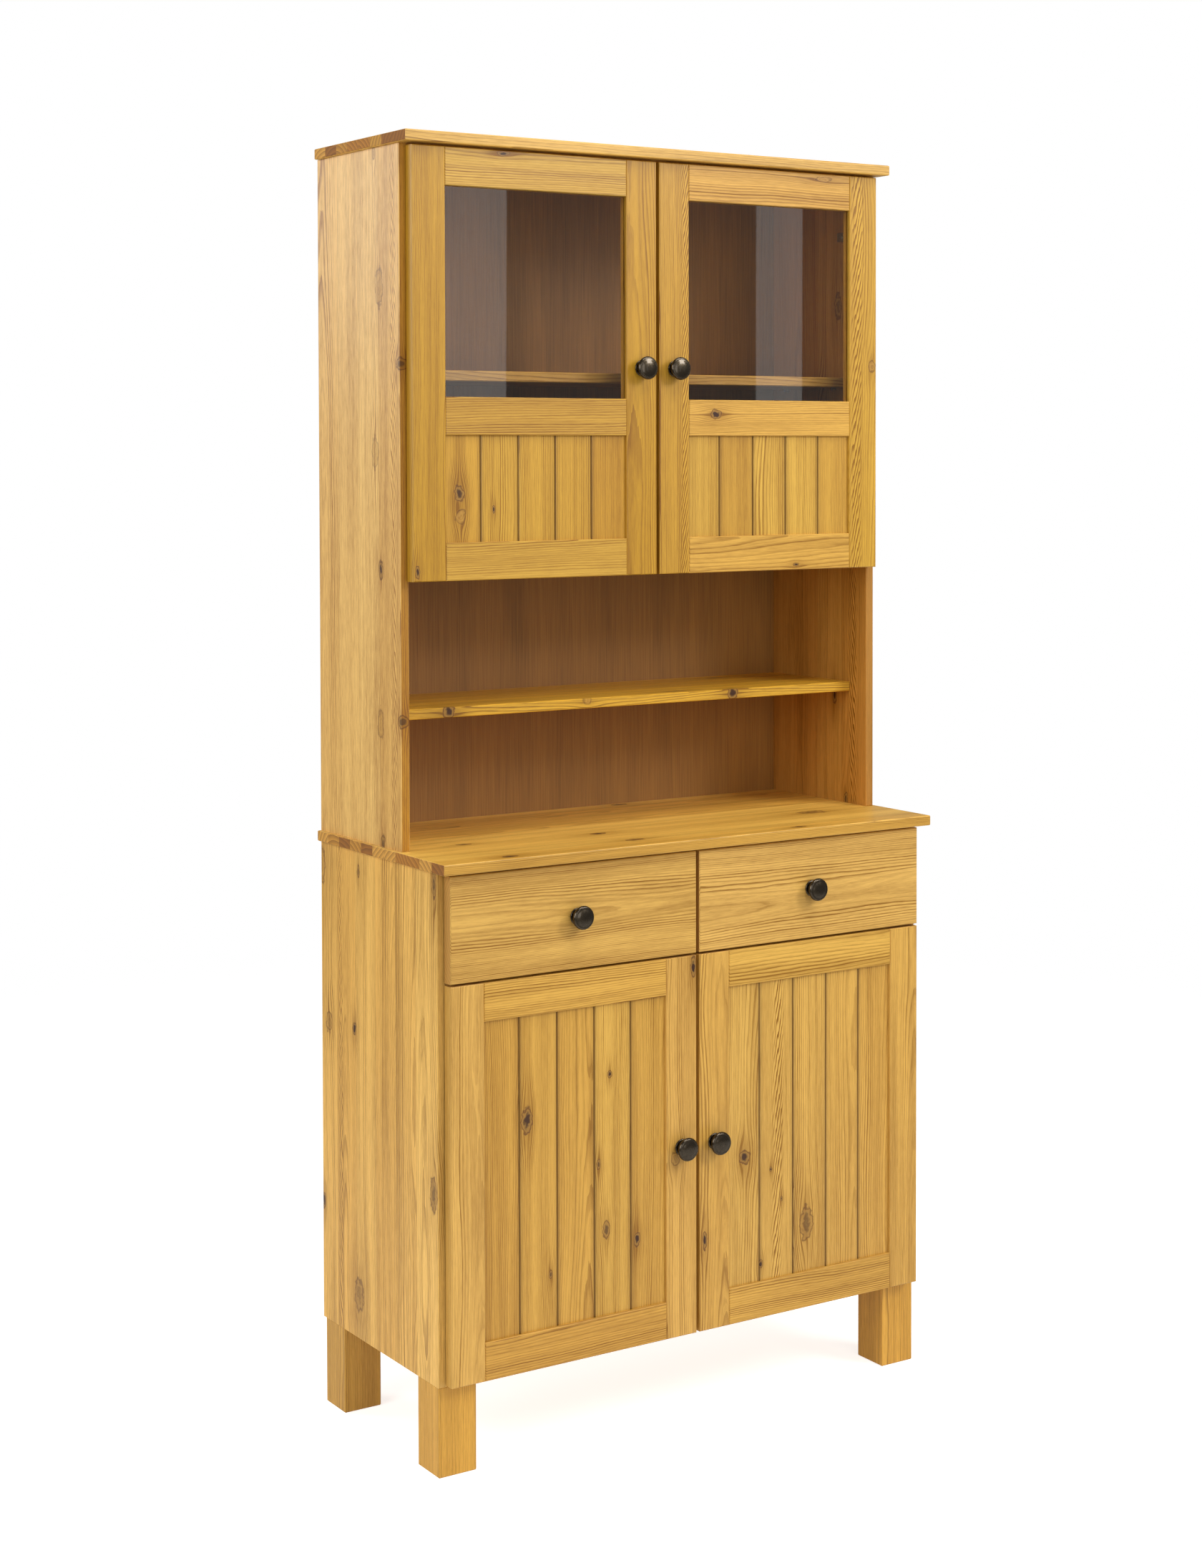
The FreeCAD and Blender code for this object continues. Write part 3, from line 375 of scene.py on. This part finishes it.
    # end grain drinks more lacquer and looks deeper, in a tone of its own on each board, with broad arcs
    normal = add(tree, "SeparateXYZ", {0: place.outputs["Normal"]})
    facing = add(tree, "Math", {0: normal.outputs[order[0]]}, operation="ABSOLUTE")
    cut_end = add(tree, "Math", {0: facing, 1: SQUARE_ON}, operation="GREATER_THAN")
    block = add(tree, "ValToRGB", {0: chance})
    block.color_ramp.interpolation = "CONSTANT"
    tones = block.color_ramp.elements
    tones.remove(tones[1])
    tones[0].color = linear(ends[0])
    for k, shade in enumerate(ends[1:], 1):
        tones.new(k / len(ends)).color = linear(shade)
    arc = add(tree, "Math", {0: years, 1: 0.3}, operation="MULTIPLY")
    arc = add(tree, "Math", {0: arc}, operation="FRACT")
    arc = add(tree, "Math", {0: arc, 1: 0.2 + 0.08 * len(ends)}, operation="MULTIPLY")
    arcs = add(tree, "Mix", {SHARE: arc, FIRST: block, SECOND: linear("#5E3A1C")},
               data_type="RGBA").outputs[MIXED]
    wood = add(tree, "Mix", {SHARE: cut_end, FIRST: wood, SECOND: arcs}, data_type="RGBA").outputs[MIXED]

    # the boards' narrow edges, their colour multiplied by a painted shade where a door's edge would shadow
    # them
    sideways = add(tree, "Math", {0: normal.outputs[order[1]]}, operation="ABSOLUTE")
    narrow = add(tree, "Math", {0: sideways, 1: SQUARE_ON}, operation="GREATER_THAN")
    shaded_edges = add(tree, "Mix", {SHARE: 1.0, FIRST: wood, SECOND: linear(edge_shade)},
                data_type="RGBA", blend_type="MULTIPLY").outputs[MIXED]
    wood = add(tree, "Mix", {SHARE: narrow, FIRST: wood, SECOND: shaded_edges}, data_type="RGBA").outputs[MIXED]

    # satin lacquer: a thin clear coat over wood whose late wood stands a little proud, and none on cut ends
    gloss = add(tree, "MapRange", {"Value": fibre, "From Min": 0.3, "From Max": 0.7,
                                   "To Min": 0.4, "To Max": 0.52})
    gloss = add(tree, "Math", {0: cut_end, 1: 0.3, 2: gloss}, operation="MULTIPLY_ADD")
    film = add(tree, "Math", {0: cut_end, 1: -0.2, 2: 0.2}, operation="MULTIPLY_ADD")
    height = add(tree, "Math", {0: fibre, 1: 0.4, 2: lines}, operation="MULTIPLY_ADD")
    relief = add(tree, "Bump", {"Height": height, "Strength": 0.35, "Distance": 0.00025})
    lacquer = add(tree, "BsdfPrincipled", {
        "Base Color": wood, "Roughness": gloss, "Normal": relief, "IOR": 1.5, "Specular IOR Level": 0.35,
        "Coat Weight": film, "Coat Roughness": 0.25})
    add(tree, "OutputMaterial", {"Surface": lacquer})
    return made


def dress(material, *nodes):
    """Gives these solids their finish."""
    for node in nodes:
        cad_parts[node].material_slots[0].material = material


for row, seed, light in (("front", 3, "#DEA843"), ("rear", 8, "#DEAF50")):
    left, right = f"leg_{row}_left", f"leg_{row}_right"
    dress(pine(f"leg_pine_{row}", left, "zxy", pitch=400, start=-600, seed=seed, light=light), left, right)


# --- Base carcass ---
# Sides, floor, shelf, drawer board and divider are boards of pine strips glued
# edge to edge and planed to 14 to 16 mm. The sides' grain is upright.

# the left base side's early wood is lightened as painted light, brightening a side that the lamps leave dim
dress(pine("base_side_pine_left", "base_side_left", "zyx", pitch=62, seed=21, light="#FACA6C", coarse=0.9,
           fibre_width=2.2, flames=((141, 6, 24),), knots={"-x": (
               (199, 821, 26, 10, 0.55), (79.6, 826.6, 9, 4, 0.75), (-146, 401.9, 24, 9, 0.75),
               (-150.6, 840.9, 20, 5, 0.8), (84, 195, 24, 13, 0.65), (177, 585, 15, 9, 0.6),
               (94, 590, 9, 5, 1.0), (198, 309, 12, 6, 0.9))}), "base_side_left")
dress(pine("base_side_pine_right", "base_side_right", "zyx", pitch=62, seed=45, light="#E6B65E",
           knots={"+x": ((-60, 640, 18, 9, 0.8), (100, 330, 22, 10, 0.9), (150, 720, 10, 6, 0.7))}),
      "base_side_right")
dress(pine("base_board_pine", "base_floor", "xyz", pitch=58, seed=33, knots={"+z": (
    (-250, 10, 16, 9, 0.8), (120, -90, 14, 8, 0.8), (300, 60, 20, 10, 0.7))}), "base_floor")
dress(pine("base_shelf_pine", "base_shelf", "xyz", pitch=58, seed=34, knots={"+z": (
    (-180, -60, 16, 9, 0.8), (260, 40, 18, 9, 0.8))}), "base_shelf")
dress(pine("drawer_board_pine", "drawer_board", "xyz", pitch=58, seed=35), "drawer_board")
dress(pine("divider_pine", "drawer_divider", "yzx", pitch=80, start=708, seed=36), "drawer_divider")


# --- Back panels ---
# 4 mm hardboard in the rebates of the sides. The inside has a printed walnut
# foil with a fine upright grain; the outside is bare brown board.

# printed walnut foil, an even satin brown: upright streaks 1.6 mm wide and 110 mm long, in bands 45 mm wide
foil_board, tree = blank("walnut_foil_board")
place = add(tree, "TexCoord")
mm = add(tree, "VectorMath", {0: place.outputs["Object"], 3: 1000}, operation="SCALE")
fine = add(tree, "VectorMath", {0: mm, 1: (1 / 1.6, 1, 1 / 110)}, operation="MULTIPLY")
streak = add(tree, "TexNoise", {"Vector": fine, "Scale": 1.0, "Detail": 3.0, "Roughness": 0.62})
wide = add(tree, "VectorMath", {0: mm, 1: (1 / 45, 1, 1 / 900)}, operation="MULTIPLY")
band = add(tree, "TexNoise", {"Vector": wide, "Scale": 1.0, "Detail": 2.0})
share = add(tree, "Math", {0: streak, 1: 0.7}, operation="MULTIPLY")
share = add(tree, "Math", {0: band, 1: 0.4, 2: share}, operation="MULTIPLY_ADD")
share = add(tree, "MapRange", {"Value": share, "From Min": 0.28, "From Max": 0.82})
foil = add(tree, "Mix", {SHARE: share, FIRST: linear("#A6722C"), SECOND: linear("#6E4A16")},
           data_type="RGBA").outputs[MIXED]
# bare board: specks about 2 mm wide over clouds of 170 mm
speck = add(tree, "TexNoise", {"Vector": mm, "Scale": 0.45, "Detail": 3.0, "Roughness": 0.7})
cloud = add(tree, "TexNoise", {"Vector": mm, "Scale": 0.006, "Detail": 3.0, "Roughness": 0.6})
blotch = add(tree, "Math", {0: cloud, 1: 0.5, 2: speck}, operation="MULTIPLY_ADD")
blotch = add(tree, "MapRange", {"Value": blotch, "From Min": 0.5, "From Max": 1.0})
bare = add(tree, "Mix", {SHARE: blotch, FIRST: linear("#B98F63"), SECOND: linear("#76522F")},
           data_type="RGBA").outputs[MIXED]
rear = add(tree, "Math", {0: add(tree, "SeparateXYZ", {0: place.outputs["Normal"]}).outputs["Y"], 1: 0.5},
           operation="GREATER_THAN")
face = add(tree, "Mix", {SHARE: rear, FIRST: foil, SECOND: bare}, data_type="RGBA").outputs[MIXED]
sheen = add(tree, "MapRange", {"Value": streak, "To Min": 0.42, "To Max": 0.6})
relief = add(tree, "Bump", {"Height": streak, "Strength": 0.2, "Distance": 0.0001})
add(tree, "OutputMaterial", {"Surface": add(tree, "BsdfPrincipled", {
    "Base Color": face, "Roughness": sheen, "Normal": relief, "IOR": 1.5})})
dress(foil_board, "base_back", "hutch_back")


def capped(rings, foot, head):
    """Points and faces of a closed shell: rings (row, step, xyz) from foot to head, a middle point each."""
    rows, around = rings.shape[:2]
    row, step = np.meshgrid(np.arange(rows - 1) * around, np.arange(around), indexing="ij")
    beside = (step + 1) % around
    sides = np.stack([row + step, row + beside, row + around + beside, row + around + step], 2).reshape(-1, 4)
    step, beside, last = step[0], beside[0], (rows - 1) * around
    bottom = np.stack([beside, step, 0 * step + last + around], 1)
    top = np.stack([last + step, last + beside, 0 * step + last + around + 1], 1)
    return np.vstack([rings.reshape(-1, 3), foot, head]), sides.tolist() + bottom.tolist() + top.tolist()


def turned(outline, around=48):
    """An outline (radius, height) turned round the height axis: radius times (cos, sin) of the angle."""
    angle = np.linspace(0, 2 * np.pi, around, endpoint=False)
    radius, height = np.array(outline).T[:, :, None]
    rings = np.stack([radius * np.cos(angle), radius * np.sin(angle), height + 0 * angle], 2)
    return capped(rings, (0, 0, outline[0][1]), (0, 0, outline[-1][1]))


def seated(name, shape, seats, out, material, body):
    """One mesh of equal shapes on seats (mm), height along out and second axis upright; it rides on body."""
    points, faces = shape
    out, up = np.array(out, float), np.array((0, 0, 1), float)
    placed = np.array(seats, float)[:, None] + points @ np.stack([np.cross(up, out), up, out])
    every = [[k * len(points) + v for v in face] for k in range(len(seats)) for face in faces]
    piece = surface(name, placed / 1000, every, material)
    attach(piece, body)
    return piece


# dull bluish zinc over drawn steel, with paler and darker patches about 2 mm wide
zinc, tree = blank("zinc_plated_steel")
spot = add(tree, "TexCoord").outputs["Object"]
patch = add(tree, "TexNoise", {"Vector": spot, "Scale": 500.0, "Detail": 2.0})
plating = add(tree, "Mix", {SHARE: patch, FIRST: linear("#BDBFC0"), SECOND: linear("#94979A")},
              data_type="RGBA").outputs[MIXED]
haze = add(tree, "MapRange", {"Value": patch, "To Min": 0.3, "To Max": 0.5})
add(tree, "OutputMaterial", {"Surface": add(tree, "BsdfPrincipled", {
    "Base Color": plating, "Metallic": 1.0, "Roughness": haze})})

# small domed nails round both panels, into the sides and the boards behind
NAIL = [(0.1, 0), (2.6, 0), (2.5, 0.45), (1.7, 0.8), (0.1, 0.95)]
PANEL_REAR = end_of("base_back", "y", high=True)
ROW = 420.3  # the upright rows' distance from the middle
heights = [*np.linspace(152, 838, 7), *np.linspace(892, 1868, 9)]
nails = [(x, PANEL_REAR, z) for x in (-ROW, ROW) for z in heights]
nails += [(x, PANEL_REAR, z) for z in (137, 700, 1270) for x in np.linspace(-372, 372, 7)]
seated("back_panel_nails", turned(NAIL, 10), nails, (0, 1, 0), zinc, "root")


# --- Counter top ---
# Eleven strips of pine glued edge to edge, with long cut-through knots. Its
# ends show each strip's end grain, from amber to dark brown.

STRIP_ENDS = ("#D8A048", "#B87C2E", "#CC963E", "#9A6426", "#C48C38")
# the counter's early wood is lightened as painted light, standing in for light falling on its top
dress(pine("counter_pine", "counter_top", "xyz", pitch=35.6, seed=52, light="#F6C55C", dark="#A57826",
           pith=45, spread=80, coarse=0.7, ends=STRIP_ENDS, knots={"+z": (
               (-320.6, -173.3, 12, 7, 0.95), (-102.1, -62.8, 12, 7, 0.95), (-87.2, -142.1, 15, 7, 0.8),
               (96.1, 181.5, 14, 7, 0.8), (303.2, -60.8, 22, 12, 0.75), (191.4, -173.7, 12, 5, 0.9),
               (-322.3, -42.1, 11, 5, 0.8))}), "counter_top")


# --- Drawers ---
# A front planed from one wide board lies on a box of pine sides and back, with
# a hardboard bottom in a groove. Beech battens on the carcass carry each box.

for side, seed, light in (("left", 61, "#E6BE68"), ("right", 172, "#E9BF6A")):
    front = f"{side}_drawer_front"
    dress(pine(front + "_pine", front, "xzy", pitch=300, start=640, seed=seed, light=light, ring=1.7, pith=80,
               spread=30, wander=7, taper=0.002), front)
dress(pine("drawer_side_pine", "left_drawer_sides", "yzx", pitch=211, start=-317, seed=66),
      "left_drawer_sides", "right_drawer_sides")
dress(pine("drawer_back_pine", "left_drawer_back", "xzy", pitch=211, start=700, seed=67),
      "left_drawer_back", "right_drawer_back")

# pressed fibre: an even brown with specks of 1 to 2 mm and a dull smooth face
hardboard, tree = blank("oiled_hardboard")
spot = add(tree, "TexCoord").outputs["Object"]
speck = add(tree, "TexNoise", {"Vector": spot, "Scale": 600.0, "Detail": 3.0, "Roughness": 0.7})
fibres = add(tree, "Mix", {SHARE: speck, FIRST: linear("#A67C52"), SECOND: linear("#6E4C2E")},
             data_type="RGBA").outputs[MIXED]
relief = add(tree, "Bump", {"Height": speck, "Strength": 0.15, "Distance": 0.0001})
add(tree, "OutputMaterial", {"Surface": add(tree, "BsdfPrincipled", {
    "Base Color": fibres, "Roughness": 0.6, "IOR": 1.5, "Normal": relief})})
dress(hardboard, "left_drawer_bottom", "right_drawer_bottom")

# close pinkish wood with short dark ray flecks, 0.6 mm wide and 4 mm long along the batten
beech, tree = blank("planed_beech")
mm = add(tree, "VectorMath", {0: add(tree, "TexCoord").outputs["Object"], 3: 1000}, operation="SCALE")
short = add(tree, "VectorMath", {0: mm, 1: (1.6, 0.25, 1.6)}, operation="MULTIPLY")
fleck = add(tree, "TexNoise", {"Vector": short, "Scale": 1.0, "Detail": 1.0})
flecks = add(tree, "MapRange", {"Value": fleck, "From Min": 0.55, "From Max": 0.72})
rays = add(tree, "Mix", {SHARE: flecks, FIRST: linear("#D9B288"), SECOND: linear("#AC7A4E")},
           data_type="RGBA").outputs[MIXED]
add(tree, "OutputMaterial", {"Surface": add(tree, "BsdfPrincipled", {
    "Base Color": rays, "Roughness": 0.5, "IOR": 1.5})})
dress(beech, "left_drawer_runners", "right_drawer_runners")


# --- Lower doors ---
# A grooved frame of two upright stiles and two rails with stub tenons holds
# five loose tongue-and-groove planks, whose bevelled edges make the V seams.

DOOR_MIDDLE = middle_of("lower_right_door_stiles", "x")
STILES = 363.65  # from the middle of one stile to the middle of the other
PLANK, V_SEAM = 63.3, (4.4, 0.7)
left, right = "lower_left_door", "lower_right_door"
dress(pine("lower_left_stile_pine", left + "_stiles", "zxy", pitch=STILES, start=-DOOR_MIDDLE - STILES,
           seed=71, light="#E1B45E", knots={"-y": ((-8.7, 680.9, 15, 5, 0.95), (-41, 399, 10, 7, 0.6))}),
      left + "_stiles")
dress(pine("lower_right_stile_pine", right + "_stiles", "zxy", pitch=STILES, start=DOOR_MIDDLE - STILES,
           seed=73, light="#E6BB61", knots={"-y": ((11.3, 268.4, 12, 4, 0.95),)}), right + "_stiles")
for side, seed in (("left", 75), ("right", 76)):
    rails = f"lower_{side}_door_rails"
    dress(pine(f"lower_{side}_rail_pine", rails, "xzy", pitch=511, start=middle_of(rails, "z") - 511,
               seed=seed, ring=3.0), rails)
dress(pine("lower_left_plank_pine", left + "_planks", "zxy", pitch=PLANK, start=-DOOR_MIDDLE - 2.5 * PLANK,
           seed=80, light="#D8AA4D", seam=V_SEAM, knots={"-y": (
               (-294.3, 492.9, 18, 9, 0.9), (-255.1, 264.2, 6, 3, 0.8), (-153.4, 540.6, 6, 4, 0.9),
               (-173.4, 410.4, 8, 3.5, 0.8), (-160, 312.5, 12, 6, 0.8), (-106.4, 289.7, 11, 5, 0.9))}),
      left + "_planks")
dress(pine("lower_right_plank_pine", right + "_planks", "zxy", pitch=PLANK, start=DOOR_MIDDLE - 2.5 * PLANK,
           seed=186, light="#E1B55B", seam=V_SEAM, flames=((149, 7, 27),), knots={"-y": (
               (88.5, 380.8, 12, 9, 0.9), (137.8, 354.7, 4, 2.5, 0.9), (205.4, 260.7, 24, 12, 0.75),
               (118.8, 212.7, 6, 4, 0.9), (157.9, 306.8, 4, 2.5, 0.8))}), right + "_planks")


# --- Hutch carcass ---
# Two upright sides stand on the counter. The cabinet's floor and shelf and the
# niche's shelf lie between them, all of glued pine strips.

# the left side's narrow edges are multiplied by a painted shade, for the shadow the doors cast on its front
# edge
dress(pine("hutch_side_pine_left", "hutch_side_left", "zyx", pitch=64, seed=92, light="#F0C472",
           dark="#A87838", coarse=1.4, fibre_width=3.4, edge_shade="#E9D479", flames=((-36, 7, 24),), knots={
               "-x": ((4.5, 1681.9, 26, 11, 0.45), (18.6, 1445.2, 22, 9, 0.3), (3.4, 1275.6, 13, 6, 0.85),
                      (19.6, 1875.9, 10, 4, 0.6), (6.3, 1051.3, 20, 9, 0.4), (0.1, 877, 14, 6, 0.8)),
               "-y": ((-428, 1570.6, 9, 9, 0.8), (-428, 1059.5, 9, 9, 0.8))}), "hutch_side_left")
# the right side's early wood is darkened as painted shade, to the shaded wall it shows inside the niche
dress(pine("hutch_side_pine_right", "hutch_side_right", "zyx", pitch=64, seed=97, light="#D29A48",
           flames=((-20, 8, 24),), knots={
               "-x": ((19.8, 1681.4, 20, 9, 0.7), (26.8, 1045.7, 12, 5, 0.9), (-3.2, 879.3, 10, 5, 0.8)),
               "+x": ((60, 1500, 20, 9, 0.8), (140, 1150, 16, 8, 0.8))}), "hutch_side_right")
dress(pine("cabinet_floor_pine", "cabinet_floor", "xyz", pitch=50, seed=101), "cabinet_floor")
dress(pine("cabinet_shelf_pine", "cabinet_shelf", "xyz", pitch=50, seed=104), "cabinet_shelf")
# the niche shelf's early wood is lightened as painted light, brightening a shelf that lies in shade
dress(pine("niche_shelf_pine", "niche_shelf", "xyz", pitch=41.5, seed=107, light="#F2BC39", knots={
    "-y": ((-328.9, 1066, 9, 9, 0.9), (182.4, 1066, 9, 9, 0.9), (-88.6, 1068.7, 8, 5, 0.4)),
    "+z": ((89, 7.5, 16, 4, 0.8), (273.1, 162.5, 14, 5, 0.7))}), "niche_shelf")


# --- Upper doors ---
# The same frame with a third rail: planks fill the lower panel, and a pane of
# float glass lies in the upper rebate behind four pinned beads.

left, right = "upper_left_door", "upper_right_door"
dress(pine("upper_left_stile_pine", left + "_stiles", "zxy", pitch=STILES, start=-DOOR_MIDDLE - STILES,
           seed=111, light="#CEA230", knots={"-y": ((-413.7, 1273.9, 10, 3.5, 0.9),)}), left + "_stiles")
dress(pine("upper_right_stile_pine", right + "_stiles", "zxy", pitch=STILES, start=DOOR_MIDDLE - STILES,
           seed=115, light="#CEA038", flames=((381, 9, 22), (50, 6, 18)),
           knots={"-y": ((412, 1580, 9, 6, 0.6),)}), right + "_stiles")
dress(pine("upper_left_rail_pine", left + "_rails", "xzy", pitch=209, start=1183, seed=118, light="#D3A946",
           ring=3.0, knots={"-y": ((-270.1, 1876.3, 10, 3.5, 0.9),)}), left + "_rails")
dress(pine("upper_right_rail_pine", right + "_rails", "xzy", pitch=209, start=1183, seed=121, ring=3.0,
           knots={"-y": ((106.5, 1501.6, 9, 7, 0.95), (260, 1268, 5, 3, 0.9), (314, 1872, 16, 4, 0.5))}),
      right + "_rails")
dress(pine("upper_left_plank_pine", left + "_planks", "zxy", pitch=PLANK, start=-DOOR_MIDDLE - 2.5 * PLANK,
           seed=124, light="#D4A63D", seam=V_SEAM, knots={"-y": (
               (-342.5, 1385.3, 12, 8, 0.85), (-340.1, 1351, 11, 8, 0.3), (-284.9, 1361.2, 6, 2.5, 0.9))}),
      left + "_planks")
dress(pine("upper_right_plank_pine", right + "_planks", "zxy", pitch=PLANK, start=DOOR_MIDDLE - 2.5 * PLANK,
           seed=127, light="#D9AE4A", seam=V_SEAM), right + "_planks")
dress(pine("bead_pine", left + "_glass_beads", "zxy", pitch=2 * DOOR_MIDDLE, start=-2 * DOOR_MIDDLE,
           seed=130), left + "_glass_beads", right + "_glass_beads")

# clear float glass, polished by the melt: sharp reflections and a faint warm grey; lamps shine through it
pane, tree = blank("float_glass")
clear = add(tree, "BsdfPrincipled", {"Base Color": linear("#E8E4DE"), "Roughness": 0.0, "IOR": 1.5,
                                     "Transmission Weight": 1.0})
shine = add(tree, "BsdfTransparent", {"Color": linear("#DEDBD6")})
add(tree, "OutputMaterial", {"Surface": add(tree, "MixShader", {
    0: add(tree, "LightPath").outputs["Is Shadow Ray"], 1: clear, 2: shine})})
dress(pane, "upper_left_door_glass", "upper_right_door_glass")


# --- Cornice ---
# One board of glued pine strips, planed and lacquered like the counter. It lies
# on the hutch's sides and overhangs the doors.

dress(pine("cornice_pine", "cornice", "xyz", pitch=35.75, seed=149, light="#FCCE6C", pith=30, spread=60,
           ends=STRIP_ENDS), "cornice")


# --- Knobs ---
# Turned from brass and darkened to a glossy bronze: a round foot, a waisted
# neck and a domed head with a rounded rim. One screw from behind holds each.

# chemically darkened brass under clear varnish: nearly black brown, glossy, with a faint 3 mm mottle
bronze, tree = blank("dark_bronze")
spot = add(tree, "TexCoord").outputs["Object"]
mottle = add(tree, "TexNoise", {"Vector": spot, "Scale": 330.0, "Detail": 3.0})
stained = add(tree, "Mix", {SHARE: mottle, FIRST: linear("#504638"), SECOND: linear("#30291F")},
              data_type="RGBA").outputs[MIXED]
polish = add(tree, "MapRange", {"Value": mottle, "To Min": 0.22, "To Max": 0.34})
add(tree, "OutputMaterial", {"Surface": add(tree, "BsdfPrincipled", {
    "Base Color": stained, "Metallic": 1.0, "Roughness": polish, "Coat Weight": 0.4, "Coat Roughness": 0.1})})


def rounded(corners, times=3):
    """Cuts every corner of an outline at a quarter and three quarters of its sides, a few times over."""
    line = np.array(corners, float)
    for _ in range(times):
        pairs = np.stack([0.75 * line[:-1] + 0.25 * line[1:], 0.25 * line[:-1] + 0.75 * line[1:]], 1)
        line = np.vstack([line[:1], pairs.reshape(-1, 2), line[-1:]])
    return line


def pan_head(radius, tall, around=32):
    """A pan head, tall * (1 - (r / radius) ** 4) high, its cross sunk where |x| or |y| is small."""
    share = np.array([1.0, 0.94, 0.84, 0.7, 0.56, 0.44, 0.32, 0.2, 0.1])[:, None]
    angle = np.linspace(0, 2 * np.pi, around, endpoint=False)
    x, y = share * np.cos(angle), share * np.sin(angle)
    near, far = np.minimum(abs(x), abs(y)), np.maximum(abs(x), abs(y))
    cross = np.clip(2 - near / 0.09, 0, 1) * np.clip((0.62 - far) / 0.08, 0, 1)
    lip, sunk = 0.1, 0.6 * tall
    head = np.stack([radius * x, radius * y, tall * (1 - share ** 4) - sunk * cross + lip], 2)
    foot = head[:1] * (1, 1, 0)
    return capped(np.vstack([foot, head]), (0, 0, 0), (0, 0, tall - sunk + lip))


KNOB = turned(rounded([
    (0.4, 0), (12.5, 0), (12.5, 2.2), (11.2, 3.0), (7.4, 3.6), (6.9, 7), (8.4, 11.5), (14.5, 13.2),
    (17.4, 15.0), (17.4, 17.6), (16.0, 19.7), (14.6, 20.3), (13.5, 20.15), (9.0, 21.4), (4.0, 21.95),
    (0.4, 22)]))
KNOB_SCREW = pan_head(4.0, 1.7)
KNOB_INSET = 29.85  # from the dresser's middle to the doors' knobs
for body, front, x in (("upper_left_door", "stiles", -KNOB_INSET), ("upper_right_door", "stiles", KNOB_INSET),
                       ("lower_left_door", "stiles", -KNOB_INSET), ("lower_right_door", "stiles", KNOB_INSET),
                       ("left_drawer", "front", -DOOR_MIDDLE), ("right_drawer", "front", DOOR_MIDDLE)):
    front = f"{body}_{front}"
    face, back, z = end_of(front, "y"), end_of(front, "y", high=True), middle_of(front, "z")
    knob = seated(body + "_turned_knob", KNOB, [(x, face, z)], (0, -1, 0), bronze, body)
    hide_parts(body + "_knob")
    seated(body + "_knob_screw", KNOB_SCREW, [(x, back, z)], (0, 1, 0), zinc, body)


# --- Hinges and pins ---
# Concealed cup hinges: a cup pressed into the stile and an arm screwed to the
# side, of nickel-plated steel, and plain steel pins under the loose shelves.

# bright plating over pressed steel: light grey, softly brushed in streaks 2.5 mm long and 0.4 mm wide
nickel, tree = blank("nickel_plated_steel")
short = add(tree, "VectorMath", {0: add(tree, "TexCoord").outputs["Object"], 1: (400, 400, 2500)},
            operation="MULTIPLY")
brush = add(tree, "TexNoise", {"Vector": short, "Scale": 1.0, "Detail": 2.0})
plated = add(tree, "Mix", {SHARE: brush, FIRST: linear("#C9C8C3"), SECOND: linear("#B3B1AA")},
             data_type="RGBA").outputs[MIXED]
haze = add(tree, "MapRange", {"Value": brush, "To Min": 0.22, "To Max": 0.38})
add(tree, "OutputMaterial", {"Surface": add(tree, "BsdfPrincipled", {
    "Base Color": plated, "Metallic": 1.0, "Roughness": haze})})
dress(nickel, "hinge_arms", "shelf_pins", "upper_left_door_hinge_cups", "upper_right_door_hinge_cups",
      "lower_left_door_hinge_cups", "lower_right_door_hinge_cups")

# Two screws hold each cup's flange, two its arm's plate, and two more in the arm set its height and its gap.
# Their places: beside the dresser's middle, behind the door's back, and up or down from the hinge's height.
HINGE_SCREW = pan_head(3.4, 1.3)
CUP_REACH = 26  # from a cup's middle to the upper and lower end of its flange
CUP_SCREWS = [(400, 1.2, -21.5), (400, 1.2, 21.5)]
ARM_SCREWS = [(414.5, 39.3, -15.5), (414.5, 39.3, 15.5), (403, 32.3, 0), (403, 50.3, 0)]
for row in ("upper", "lower"):
    for hand, side in (("left", -1), ("right", 1)):
        door = f"{row}_{hand}_door"
        back, cups = end_of(door + "_stiles", "y", high=True), door + "_hinge_cups"
        heights = (end_of(cups, "z") + CUP_REACH, end_of(cups, "z", high=True) - CUP_REACH)
        for part, screws, out, body in (("cup", CUP_SCREWS, (0, 1, 0), door),
                                        ("arm", ARM_SCREWS, (-side, 0, 0), "root")):
            seats = [(side * x, back + y, height + z) for height in heights for x, y, z in screws]
            seated(f"{door}_{part}_screws", HINGE_SCREW, seats, out, nickel, body)
